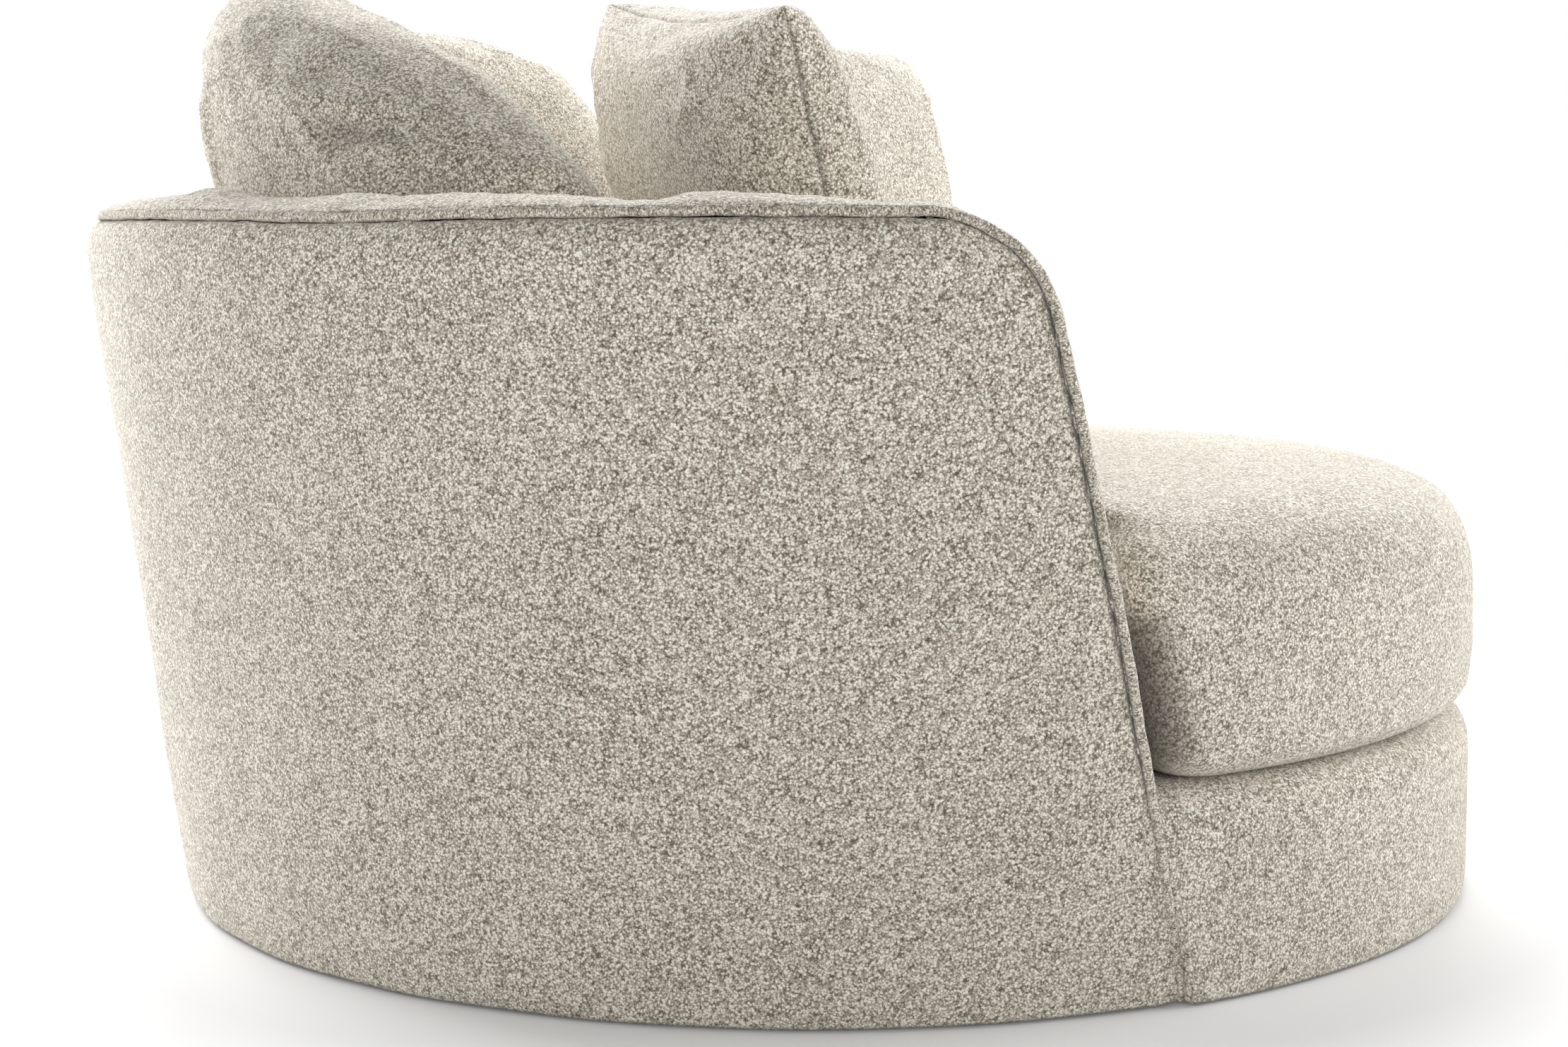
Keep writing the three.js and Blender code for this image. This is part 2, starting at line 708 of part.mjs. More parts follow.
// One strap of the woven deck: it passes over and under the straps that run across it
function strap(offset, overFirst) {
  const half = Math.sqrt(strapReach * strapReach - (Math.abs(offset) + strapWidth / 2) ** 2);
  const steps = 2 * strapWaveSteps * strapsEachWay;
  const middle = strapLevel + strapThickness / 2;
  const wave = (along) => (overFirst ? 1 : -1) * strapThickness * Math.sin((Math.PI * along) / strapPitch);
  const loops = Array.from({ length: steps + 1 }, (_, i) => {
    const along = half * ((2 * i) / steps - 1);
    const z = middle + wave(along);
    const corner = (x, up) => new THREE.Vector3(offset + x, along, z + up);
    const [w, t] = [strapWidth / 2, strapThickness / 2 - clearance / 2];
    return [corner(-w, -t), corner(w, -t), corner(w, t), corner(-w, t)];
  });
  const section = [[0, 0], [1, 0], [1, 1], [0, 1]].map(([x, y]) => new THREE.Vector2(x, y));
  return loft(loops, section);
}

function deckPad() {
  return plate(discShape(deckRadius), deckBottom, deckTop - deckBottom);
}

function dustCover() {
  const shape = discShape(dustCoverRadius);
  shape.holes.push(circlePath(dustCoverInner, 0, 0, discSides));
  return plate(shape, panelBottom - clearance - dustCoverThickness, dustCoverThickness);
}

// The seat cushion in plan: a round front between two ears, and a smaller round back inside the tub
function cushionRadius(turn, z) {
  const ear = Math.PI - edgeTurn(z, 0) - earGap / cushionFront;
  const step = THREE.MathUtils.smoothstep(turn, ear - earSpan, ear);
  return cushionFront - (cushionFront - cushionBack) * step;
}

function cushionTurns(z) {
  const ear = Math.PI - edgeTurn(z, 0) - earGap / cushionFront;
  const frontShares = [0, 0.18, 0.36, 0.54, 0.72, 0.86];
  const earShares = [1, 0.75, 0.5, 0.25, 0];
  const backShares = [0.05, 0.17, 0.3, 0.44, 0.58, 0.72, 0.86];
  return [
    ...frontShares.map((s) => s * (ear - earSpan)),
    ...earShares.map((s) => ear - s * earSpan),
    ...backShares.map((s) => ear + s * (Math.PI - ear)),
  ];
}

// Rings of the cushion from bottom to top, as shares of its plan and of its height
const cushionRingShares = [
  [0.935, 0], [0.958, 0.012], [0.984, 0.056], [0.996, 0.17], [1, 0.34], [0.998, 0.52], [0.993, 0.63],
  [0.983, 0.72], [0.968, 0.79], [0.948, 0.85], [0.88, 0.935], [0.7, 0.977], [0.4, 0.995],
];
const coreRingShares = [[0.935, 0], [0.984, 0.056], [1, 0.34], [0.983, 0.72], [0.88, 0.935], [0.4, 0.995]];

function cushionBody(rings, inset) {
  const points = [];
  const height = cushionHeight - 2 * inset;
  for (const [scale, up] of rings) {
    const z = cushionBottom + inset + up * height;
    const turns = cushionTurns(z);
    const ring = [...turns, Math.PI, ...turns.slice(1).reverse().map((t) => -t)];
    for (const turn of ring) {
      const radius = scale * cushionRadius(Math.abs(turn), z) - inset;
      points.push(around(radius, Math.PI + turn, z));
    }
  }
  const n = points.length / rings.length;
  const bottom = points.push(new THREE.Vector3(0, 0, cushionBottom + inset)) - 1;
  const top = points.push(new THREE.Vector3(0, 0, cushionTop - inset)) - 1;
  const index = [];
  for (let j = 0; j < n; j += 1) {
    const k = (j + 1) % n;
    for (let i = 0; i + 1 < rings.length; i += 1) {
      const [a, b, c, d] = [i * n + j, i * n + k, (i + 1) * n + k, (i + 1) * n + j];
      index.push(a, b, c, a, c, d);
    }
    const last = (rings.length - 1) * n;
    index.push(bottom, k, j, top, last + j, last + k);
  }
  return closedGeometry(points, index);
}

// A band at the back of the cushion's side, between two insets from its face
function zipBand(height, span, outset, inset) {
  const z = cushionBottom + zipLevelShare * cushionHeight;
  const columns = 10;
  const [inner, outer] = [cushionBack - inset, cushionBack + outset];
  const [low, high] = [z - height / 2, z + height / 2];
  const section = [[inner, low], [outer, low], [outer, high], [inner, high]];
  const loops = Array.from({ length: columns + 1 }, (_, i) => {
    const turn = span * ((2 * i) / columns - 1);
    return section.map(([r, level]) => around(r, turn, level));
  });
  return loft(loops, section.map(([r, level]) => new THREE.Vector2(r, level)));
}

function seatCover() {
  const shell = cut(cushionBody(cushionRingShares, 0), cushionBody(coreRingShares, cushionWall));
  return cut(shell, zipBand(zipHeight, zipSpan, cutOverrun, zipDepth));
}

function seatCore() {
  return cushionBody(coreRingShares, cushionWall + pillowRoom);
}

// The zip is the strip of the wall that closes the opening
function seatZip() {
  const wall = cut(cushionBody(cushionRingShares, clearance), cushionBody(coreRingShares, cushionWall));
  const span = zipSpan - clearance / (cushionBack - zipDepth);
  return meet(wall, zipBand(zipHeight - 2 * clearance, span, 0, zipDepth));
}

// A pillow stands in the XZ plane and faces -Y. Its shape is laid out flat, then bent round the tub's
// curve and let droop at its outer upper corner and sag at its bottom
function settle(size, rest, point) {
  const [across, up] = [point.x / size.width, point.z / size.height];
  const outward = Math.max(0, rest.side * across + 1 / 2);
  point.y -= rest.bend * 4 * across * across;
  point.z -= rest.droop * outward ** 2 * Math.max(0, up + 1 / 2);
  point.z -= rest.sag * Math.max(0, 1 / 2 - up) ** 2;
  return point;
}

// s and t run from -1 to 1 across the pillow and up it
function pillowPoint(size, rest, s, t, face, inset) {
  const half = (length) => length / 2 - inset;
  const side = (u, v) => {
    const rounded = Math.sqrt(1 - (size.roundShare * v * v) / 2);
    return u * rounded * (1 - size.drawShare * (1 - v * v) * u * u);
  };
  const full = Math.sqrt((1 - s ** 4) * (1 - t ** 4));
  const [x, y, z] = [half(size.width) * side(s, t), half(size.thick) * full, half(size.height) * side(t, s)];
  return settle(size, rest, new THREE.Vector3(x, -face * y, z));
}

function pillowBody(size, rest, steps, inset) {
  const points = [];
  const index = [];
  const n = steps + 1;
  const id = (i, j, face) => {
    const edge = i === 0 || j === 0 || i === steps || j === steps;
    return (edge || face > 0 ? 0 : n * n) + i * n + j;
  };
  for (const face of [1, -1]) {
    for (let i = 0; i < n; i += 1) {
      for (let j = 0; j < n; j += 1) {
        points.push(pillowPoint(size, rest, (2 * i) / steps - 1, (2 * j) / steps - 1, face, inset));
      }
    }
    for (let i = 0; i < steps; i += 1) {
      for (let j = 0; j < steps; j += 1) {
        const quad = [id(i, j, face), id(i + 1, j, face), id(i + 1, j + 1, face), id(i, j + 1, face)];
        const towardsCorner = (2 * i + 1 - steps) * (2 * j + 1 - steps) >= 0;
        const [a, b, c, d] = towardsCorner ? quad : [quad[1], quad[2], quad[3], quad[0]];
        if (face > 0) index.push(a, b, c, a, c, d);
        else index.push(c, b, a, d, c, a);
      }
    }
  }
  return closedGeometry(points, index);
}

// A slit along the bottom seam, bent as the pillow is
function seamSlit(size, rest) {
  const slit = new THREE.BoxGeometry(size.width * slitShare, pillowSlit, slitDepth, pillowSteps, 1, 1);
  slit.translate(0, 0, (slitDepth - size.height) / 2 - cutOverrun);
  const position = slit.getAttribute("position");
  for (let i = 0; i < position.count; i += 1) {
    const point = settle(size, rest, new THREE.Vector3().fromBufferAttribute(position, i));
    position.setXYZ(i, point.x, point.y, point.z);
  }
  return slit;
}

function pillowCover(size, rest) {
  const hollow = pillowBody(size, rest, fillingSteps, pillowWall);
  return cut(pillowBody(size, rest, pillowSteps, 0), hollow, seamSlit(size, rest));
}

function pillowFilling(size, rest) {
  return pillowBody(size, rest, fillingSteps, pillowWall + pillowRoom);
}

const root = new THREE.Group();

function add(parent, name, geometry, material) {
  const mesh = new THREE.Mesh(geometry, materials[material]);
  mesh.name = name;
  parent.add(mesh);
  return mesh;
}

function addSwivel() {
  add(root, "floor_pad", floorPad(), "felt");
  add(root, "floor_disc", floorDisc(), "timber");
  add(root, "lower_race", lowerRace(), "steel");
  add(root, "ball_cage", ballCage(), "nylon");
  add(root, "upper_race", upperRace(), "steel");
  const place = (mesh, circle, turn, z) => {
    mesh.position.set(circle * Math.cos(turn), circle * Math.sin(turn), z);
  };
  for (let i = 0; i < screwsEachPlate; i += 1) {
    const turn = (2 * Math.PI * i) / screwsEachPlate;
    const lower = add(root, `lower_screw_${i + 1}`, screw(), "steel");
    place(lower, lowerScrewCircle, lowerPhase + turn, lowerPlateTop + clearance);
    const upper = add(root, `upper_screw_${i + 1}`, screw(), "steel");
    place(upper, upperScrewCircle, upperPhase + turn, upperPlateBottom - clearance);
    upper.rotation.x = Math.PI;
  }
}

function addFrame() {
  add(root, "base_panel", basePanel(), "timber");
  add(root, "seat_ring", seatRing(), "timber");
  add(root, "front_rail", frontRail(), "timber");
  add(root, "top_rail", topRail(), "timber");
  for (let i = 0; i < backPosts; i += 1) {
    const turn = backPostSpread * ((2 * i) / (backPosts - 1) - 1);
    add(root, `back_post_${i + 1}`, backPost(turn), "timber");
  }
  add(root, "right_arm_post", armPost(-1), "timber");
  add(root, "left_arm_post", armPost(1), "timber");
  for (let i = 0; i < seatLegs; i += 1) {
    const turn = (2 * Math.PI * (i + 0.5)) / seatLegs;
    const leg = add(root, `seat_leg_${i + 1}`, seatLeg(), "timber");
    const radius = seatRingRadius - seatRingWidth / 2;
    leg.position.copy(around(radius, turn, panelTop + clearance));
    leg.rotation.z = -turn;
  }
}

function addDeck() {
  for (let i = 0; i < strapsEachWay; i += 1) {
    const offset = strapPitch * (i - (strapsEachWay - 1) / 2);
    add(root, `long_strap_${i + 1}`, strap(offset, i % 2 === 0), "webbing");
    add(root, `cross_strap_${i + 1}`, strap(offset, i % 2 === 0), "webbing").rotation.z = Math.PI / 2;
  }
  add(root, "deck_pad", deckPad(), "foam");
  add(root, "dust_cover", dustCover(), "dustCloth");
}

function addUpholstery() {
  add(root, "outside_back", outsideBack(), "fabric");
  add(root, "inside_back", insideBack(), "fabric");
  add(root, "front_border", frontBorder(), "fabric");
  add(root, "welt", welt(), "fabric");
  add(root, "seat_cover", seatCover(), "fabric");
  add(root, "seat_core", seatCore(), "foam");
  add(root, "seat_zip", seatZip(), "nylon");
}

function addPillow(name, size, rest) {
  const group = new THREE.Group();
  const rise = (rest.riseShare * size.height) / 2;
  group.position.set(rest.acrossShare * size.width, rest.y, cushionTop + rise);
  group.rotation.set(-rest.lean, rest.roll, rest.turn, "ZXY");
  add(group, `${name}_cover`, pillowCover(size, rest), "fabric");
  add(group, `${name}_filling`, pillowFilling(size, rest), "filling");
  root.add(group);
}

addSwivel();
addFrame();
addDeck();
addUpholstery();
addPillow("right_back_pillow", backPillow, rightBackRest);
addPillow("left_back_pillow", backPillow, leftBackRest);
addPillow("right_scatter_pillow", scatterPillow, rightScatterRest);
addPillow("left_scatter_pillow", scatterPillow, leftScatterRest);

export default root;
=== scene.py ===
import math
import bpy
import numpy as np
from mathutils import Matrix, Vector


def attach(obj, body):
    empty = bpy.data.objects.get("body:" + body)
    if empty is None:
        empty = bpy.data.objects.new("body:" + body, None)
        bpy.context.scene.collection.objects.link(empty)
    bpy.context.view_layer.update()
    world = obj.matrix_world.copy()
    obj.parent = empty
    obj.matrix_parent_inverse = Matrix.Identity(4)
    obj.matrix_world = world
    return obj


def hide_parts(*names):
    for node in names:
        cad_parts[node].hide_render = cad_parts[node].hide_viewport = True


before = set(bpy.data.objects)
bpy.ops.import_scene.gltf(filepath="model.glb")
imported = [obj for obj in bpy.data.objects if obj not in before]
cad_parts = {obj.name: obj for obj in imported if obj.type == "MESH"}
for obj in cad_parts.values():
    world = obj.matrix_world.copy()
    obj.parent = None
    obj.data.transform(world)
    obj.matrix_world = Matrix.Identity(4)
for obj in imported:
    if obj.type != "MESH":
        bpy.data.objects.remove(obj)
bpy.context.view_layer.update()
bpy.ops.object.select_all(action="DESELECT")

# The camera stands at arm height on the chair's right side and looks a little down
cameraView = {
    "place": (-2.913, 0.0, 0.669),
    "pan": -0.0128,
    "pitch": math.radians(6.16),
    "roll": math.radians(-0.32),
    "focalPixels": 3954,
    "framePixels": 2220,
    "sensor": 36.0,
}


def addCamera(view):
    pan, pitch, roll = view["pan"], view["pitch"], view["roll"]
    ahead = Vector((math.cos(pan) * math.cos(pitch), -math.sin(pan) * math.cos(pitch), -math.sin(pitch)))
    right = Vector((-math.sin(pan), -math.cos(pan), 0))
    up = right.cross(ahead)
    tiltedRight = right * math.cos(roll) + up * math.sin(roll)
    tiltedUp = up * math.cos(roll) - right * math.sin(roll)
    bpy.ops.object.camera_add(location=view["place"])
    camera = bpy.context.object
    camera.name = "photoCamera"
    axes = Matrix((tiltedRight, tiltedUp, -ahead)).transposed()
    camera.rotation_euler = axes.to_euler()
    camera.data.sensor_fit = "HORIZONTAL"
    camera.data.sensor_width = view["sensor"]
    camera.data.lens = view["focalPixels"] / view["framePixels"] * view["sensor"]
    bpy.context.scene.camera = camera


addCamera(cameraView)
print("camera ready")


# Small helpers for node trees
def addNode(tree, kind, **settings):
    node = tree.nodes.new(kind)
    for name, value in settings.items():
        setattr(node, name, value)
    return node


def feed(tree, node, **sockets):
    for name, value in sockets.items():
        socket = node.inputs[int(name[1:])] if name[1:].isdigit() else node.inputs[name.replace("_", " ")]
        if isinstance(value, bpy.types.NodeSocket):
            tree.links.new(value, socket)
        else:
            socket.default_value = value


def mathNode(tree, operation, first, second=0.0):
    node = addNode(tree, "ShaderNodeMath", operation=operation)
    feed(tree, node, i0=first, i1=second)
    return node.outputs[0]


def mapped(tree, value, low, high, toLow, toHigh):
    node = addNode(tree, "ShaderNodeMapRange", clamp=True)
    feed(tree, node, i0=value, i1=low, i2=high, i3=toLow, i4=toHigh)
    return node.outputs[0]


def smoothMapped(tree, value, low, high, toLow, toHigh):
    node = addNode(tree, "ShaderNodeMapRange", interpolation_type="SMOOTHSTEP")
    feed(tree, node, i0=value, i1=low, i2=high, i3=toLow, i4=toHigh)
    return node.outputs[0]


def mixColor(tree, factor, first, second, blend="MIX"):
    node = addNode(tree, "ShaderNodeMix", data_type="RGBA", blend_type=blend)
    feed(tree, node, i0=factor, i6=first, i7=second)
    return node.outputs[2]


def noiseAt(tree, vector, scale, detail, rough=0.5):
    noise = addNode(tree, "ShaderNodeTexNoise")
    feed(tree, noise, Vector=vector, Scale=scale, Detail=detail, Roughness=rough)
    return noise.outputs


def added(tree, first, second):
    return mathNode(tree, "ADD", first, second)


def scaledVector(tree, vector, factor):
    node = addNode(tree, "ShaderNodeVectorMath", operation="SCALE")
    feed(tree, node, i0=vector, i3=factor)
    return node.outputs[0]


def newGroup(name, inputs, outputs):
    tree = bpy.data.node_groups.new(name, "ShaderNodeTree")
    for label, kind, default in inputs:
        socket = tree.interface.new_socket(name=label, in_out="INPUT", socket_type=kind)
        if default is not None:
            socket.default_value = default
    for label, kind in outputs:
        tree.interface.new_socket(name=label, in_out="OUTPUT", socket_type=kind)
    source = tree.nodes.new("NodeGroupInput")
    target = tree.nodes.new("NodeGroupOutput")
    return tree, source, target


# Looped yarn: round pale nubs in two sizes on a darker ground, each nub with its own tone; the ground is
# darker partly as painted shade between the loops
def boucleLoops():
    tree, source, target = newGroup(
        "boucleLoops",
        [
            ("Vector", "NodeSocketVector", None),
            ("Loop Size", "NodeSocketFloat", 0.0026),
            ("Light", "NodeSocketColor", (1.0, 0.955, 0.87, 1)),
            ("Middle", "NodeSocketColor", (0.55, 0.495, 0.41, 1)),
            ("Dark", "NodeSocketColor", (0.118, 0.098, 0.068, 1)),
            ("Mottle", "NodeSocketFloat", 0.35),
            ("Patches", "NodeSocketFloat", 0.08),
        ],
        [("Color", "NodeSocketColor"), ("Height", "NodeSocketFloat"), ("Roughness", "NodeSocketFloat")],
    )
    perMetre = mathNode(tree, "DIVIDE", 1.0, source.outputs["Loop Size"])
    loops = scaledVector(tree, source.outputs["Vector"], perMetre)
    drift = noiseAt(tree, loops, 1.1, 2.0)
    bent = addNode(tree, "ShaderNodeVectorMath", operation="MULTIPLY_ADD")
    feed(tree, bent, i0=drift["Color"], i1=(0.45, 0.45, 0.45), i2=loops)
    nubs = addNode(tree, "ShaderNodeTexVoronoi")
    feed(tree, nubs, Vector=bent.outputs[0], Scale=1.0)
    knots = addNode(tree, "ShaderNodeTexVoronoi")
    feed(tree, knots, Vector=bent.outputs[0], Scale=1.35)
    fibre = noiseAt(tree, loops, 4.2, 2.0, 0.6)

    # height: soft domes of both sizes, with loose fibres over them
    dome = smoothMapped(tree, nubs.outputs["Distance"], 0.05, 0.75, 0.35, 0.0)
    knot = smoothMapped(tree, knots.outputs["Distance"], 0.05, 0.75, 0.65, 0.0)
    fuzz = mapped(tree, fibre[0], 0.25, 0.75, -0.27, 0.27)
    height = added(tree, added(tree, dome, knot), fuzz)

    # tone: each nub, knot and wider patch is a little paler or darker than the next
    nubTone = addNode(tree, "ShaderNodeSeparateColor")
    feed(tree, nubTone, Color=nubs.outputs["Color"])
    knotTone = addNode(tree, "ShaderNodeSeparateColor")
    feed(tree, knotTone, Color=knots.outputs["Color"])
    patch = noiseAt(tree, loops, 0.14, 3.0, 0.65)
    broad = noiseAt(tree, loops, 0.02, 2.0)
    nubShift = mapped(tree, nubTone.outputs[0], 0.0, 1.0, -0.5, 0.5)
    knotShift = mapped(tree, knotTone.outputs[0], 0.0, 1.0, -1.0, 1.0)
    patchShift = mapped(tree, patch[0], 0.3, 0.7, -1.0, 1.0)
    broadShift = mapped(tree, broad[0], 0.35, 0.65, -0.3, 0.3)
    own = mathNode(tree, "MULTIPLY", added(tree, nubShift, knotShift), source.outputs["Mottle"])
    patches = mathNode(tree, "MULTIPLY", added(tree, patchShift, broadShift), source.outputs["Patches"])
    # partly painted shade: the tone follows the loops' height, so the low ground between them comes out
    # darker
    tone = added(tree, height, added(tree, own, patches))
    lowTone = mapped(tree, tone, -0.25, 0.34, 0.0, 1.0)
    darker = mixColor(tree, lowTone, source.outputs["Dark"], source.outputs["Middle"])
    yarn = mixColor(tree, mapped(tree, tone, 0.34, 0.84, 0.0, 1.0), darker, source.outputs["Light"])
    tint = noiseAt(tree, loops, 0.22, 2.0)
    warmth = mapped(tree, tint[0], 0.35, 0.65, 0.0, 1.0)
    hue = mixColor(tree, warmth, (0.982, 1.0, 0.99, 1), (1.0, 0.985, 0.985, 1))
    color = mixColor(tree, 1.0, yarn, hue, "MULTIPLY")
    tree.links.new(color, target.inputs["Color"])
    tree.links.new(height, target.inputs["Height"])
    tree.links.new(mapped(tree, height, 0.3, 1.0, 0.98, 0.86), target.inputs["Roughness"])
    return tree


def newMaterial(name):
    material = bpy.data.materials.new(name)
    material.use_nodes = True
    tree = material.node_tree
    shader = tree.nodes["Principled BSDF"]
    place = addNode(tree, "ShaderNodeTexCoord")
    return material, tree, shader, place.outputs["Object"]


def bumpInto(tree, shader, height, strength, distance):
    bump = addNode(tree, "ShaderNodeBump")
    feed(tree, bump, Strength=strength, Distance=distance, Height=height)
    tree.links.new(bump.outputs[0], shader.inputs["Normal"])


boucle = {
    "loopSize": 0.0027,
    "light": (1.0, 0.955, 0.87, 1),
    "middle": (0.56, 0.503, 0.416, 1),
    "dark": (0.118, 0.098, 0.068, 1),
    "mottle": 0.38,
    "patches": 0.06,
    "bumpStrength": 0.6,
    "bumpDepth": 0.001,
    # deep: the colour of the painted shade laid into seams, folds and beside the cushion's ears
    "deep": (0.050, 0.042, 0.032, 1),
    "sheen": 0.4,
    "sheenTint": (1.0, 0.97, 0.92, 1),
}


def boucleFabric(name, loops, settings, along=None):
    material, tree, shader, place = newMaterial(name)
    if along:
        place = addNode(tree, "ShaderNodeUVMap", uv_map=along).outputs[0]
    weave = addNode(tree, "ShaderNodeGroup", node_tree=loops)
    feed(tree, weave, Vector=place, Loop_Size=settings["loopSize"])
    feed(tree, weave, Light=settings["light"], Middle=settings["middle"], Dark=settings["dark"])
    feed(tree, weave, Mottle=settings["mottle"], Patches=settings["patches"])
    # painted shade: the shade attribute darkens the yarn towards the deep colour
    deep = addNode(tree, "ShaderNodeAttribute", attribute_name="shade")
    shaded = mixColor(tree, deep.outputs["Fac"], weave.outputs["Color"], settings["deep"])
    feed(tree, shader, Base_Color=shaded, Roughness=weave.outputs["Roughness"])
    shader.inputs["Sheen Weight"].default_value = settings["sheen"]
    shader.inputs["Sheen Roughness"].default_value = 0.5
    shader.inputs["Sheen Tint"].default_value = settings["sheenTint"]
    shader.inputs["Specular IOR Level"].default_value = 0.15
    bumpInto(tree, shader, weave.outputs["Height"], settings["bumpStrength"], settings["bumpDepth"])
    return material


loopGroup = boucleLoops()
fabric = boucleFabric("boucle", loopGroup, boucle)
ridgedFabric = boucleFabric("boucleRidged", loopGroup, boucle, along="along")
print("boucle ready")


# The tub's sizes, as in the frame
tub = {
    "rimHeight": 0.677,
    "footRadius": 0.6565,
    "flare": math.radians(7.16),
    "thickness": 0.110,
    "footSpan": math.radians(118.1),
    "rimSpan": math.radians(102.9),
    "cornerRadius": 0.080,
    "hemHeight": 0.003,
    "hemRound": 0.024,
    "hemTuck": 0.004,
    "rimRound": 0.045,
    "rimTuck": 0.017,
    "rimCurve": 2.2,
}


def wallRadius(z):
    return tub["footRadius"] + z * math.tan(tub["flare"])


def outerRadius(z):
    low = np.clip((tub["hemHeight"] + tub["hemRound"] - z) / tub["hemRound"], 0, 1)
    high = np.maximum(0, z - (tub["rimHeight"] - tub["rimRound"])) / tub["rimRound"]
    atHem = tub["hemTuck"] * (1 - np.sqrt(1 - low**2))
    return wallRadius(z) - atHem - tub["rimTuck"] * high ** tub["rimCurve"]


def wallNormal(z):
    # how far out and how far up the wall's face looks, at each height
    lean = (outerRadius(z - 0.0005) - outerRadius(z + 0.0005)) / 0.001
    length = np.sqrt(1 + lean**2)
    return 1 / length, lean / length


def edgeTurn(z, inset):
    lean = tub["footSpan"] + (tub["rimSpan"] - tub["footSpan"]) * z / tub["rimHeight"]
    corner = tub["cornerRadius"] - inset
    above = np.clip(z - (tub["rimHeight"] - tub["cornerRadius"]), 0, corner)
    cut = corner - np.sqrt(corner * corner - above * above)
    return lean - (inset + cut) / wallRadius(z)


def around(radius, turn, z):
    return np.stack([radius * np.sin(turn), radius * np.cos(turn), z + 0 * turn], -1)


def ripple(values, seed, waves):
    # a smooth line of small waves: each wave is (how many per radian or metre, height)
    rng = np.random.default_rng(seed)
    total = np.zeros_like(values)
    for rate, height in waves:
        total += height * np.sin(values * rate * 2 * math.pi + rng.uniform(0, 2 * math.pi))
    return total


def smoothStep(value, low, high):
    t = np.clip((value - low) / (high - low), 0, 1)
    return t * t * (3 - 2 * t)


def gridFaces(rows, columns, closedColumns=False):
    last = columns if closedColumns else columns - 1
    faces = []
    for i in range(rows - 1):
        row, above = i * columns, (i + 1) * columns
        for j in range(last):
            k = (j + 1) % columns
            faces.append((row + j, row + k, above + k, above + j))
    return faces


def finishPiece(name, points, faces, body, material, replaced, wall=0):
    mesh = bpy.data.meshes.new(name)
    mesh.from_pydata([tuple(p) for p in points], [], faces)
    piece = bpy.data.objects.new(name, mesh)
    bpy.context.scene.collection.objects.link(piece)
    bpy.ops.object.select_all(action="DESELECT")
    piece.select_set(True)
    bpy.context.view_layer.objects.active = piece
    bpy.ops.object.mode_set(mode="EDIT")
    bpy.ops.mesh.select_all(action="SELECT")
    bpy.ops.mesh.remove_doubles(threshold=0.00005)
    bpy.ops.mesh.normals_make_consistent(inside=False)
    bpy.ops.object.mode_set(mode="OBJECT")
    if wall:
        skin = piece.modifiers.new("wall", "SOLIDIFY")
        skin.thickness = wall
        skin.offset = -1
        bpy.ops.object.modifier_apply(modifier=skin.name)
    bpy.ops.object.shade_smooth()
    dress(piece, body, material, replaced)
    return piece


def dress(piece, body, material, replaced):
    piece.data.materials.clear()
    piece.data.materials.append(material)
    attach(piece, body)
    if replaced:
        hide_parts(*replaced)


def paintShade(piece, values):
    # painted shade: how deep in a seam, fold or gap each point lies, kept as a shade attribute that darkens
    # the yarn's colour there
    layer = piece.data.attributes.new("shade", "FLOAT", "POINT")
    layer.data.foreach_set("value", np.clip(values, 0, 1).astype(np.float32))


def placesOf(piece):
    flat = np.empty(len(piece.data.vertices) * 3)
    piece.data.vertices.foreach_get("co", flat)
    return flat.reshape(-1, 3)


# The seam line: where the outside panel, the welt and the pad meet, down both arms and round the rim
seamLine = {
    "panelBack": 0.0022,
    "shadeReach": 0.0026,
    "shadeDepth": 0.85,
    "sagFrom": 0.60,
    "sagFull": 0.665,
    "sagByTurn": [
        (-101, 0.0012), (-95, 0.0006), (-90, -0.0008), (-72, -0.0006), (-66, 0.0006), (-58, 0.0020),
        (-52, 0.0024), (-47, 0.0), (-38, -0.0010), (-30, -0.0018), (0, 0.0004), (25, 0.0016),
        (60, -0.0008), (85, 0.0012), (101, 0.0),
    ],
}


def leanTurn(z):
    return tub["footSpan"] + (tub["rimSpan"] - tub["footSpan"]) * z / tub["rimHeight"]


def seamPlace(side, kind, value, proud):
    # the turn and height of a point on the seam, or a little beyond it (proud) or inside it
    corner = tub["cornerRadius"]
    if kind == "rim":
        z = tub["rimHeight"] + proud
        last = leanTurn(tub["rimHeight"]) - corner / wallRadius(tub["rimHeight"])
        return value / last * (leanTurn(z) - corner / wallRadius(z)), z
    tilt = value if kind == "corner" else 0.0
    base = tub["rimHeight"] - corner if kind == "corner" else value
    reach = corner + proud
    z = base + reach * math.sin(tilt)
    return side * (leanTurn(z) - (corner - reach * math.cos(tilt)) / wallRadius(z)), z


def seamStations(armLevels, cornerSteps, rimColumns):
    tilts = np.linspace(0, math.pi / 2, cornerSteps)[1:]
    last = leanTurn(tub["rimHeight"]) - tub["cornerRadius"] / wallRadius(tub["rimHeight"])
    turns = np.linspace(-last, last, rimColumns)[1:-1]
    stations = [(-1, "arm", z) for z in armLevels] + [(-1, "corner", t) for t in tilts]
    stations += [(0, "rim", t) for t in turns]
    return stations + [(1, "corner", t) for t in tilts[::-1]] + [(1, "arm", z) for z in armLevels[::-1]]


def sagged(points):
    # the rim's seam rises and falls a little where the stuffing is fuller or thinner
    s = seamLine
    turn = np.degrees(np.arctan2(points[..., 0], points[..., 1]))
    radius, z = np.hypot(points[..., 0], points[..., 1]), points[..., 2]
    outer = smoothStep(radius, wallRadius(z) - 0.070, wallRadius(z) - 0.025)
    lower = np.interp(turn, *zip(*s["sagByTurn"])) * smoothStep(z, s["sagFrom"], s["sagFull"]) * outer
    return np.stack([points[..., 0], points[..., 1], z - lower], -1)


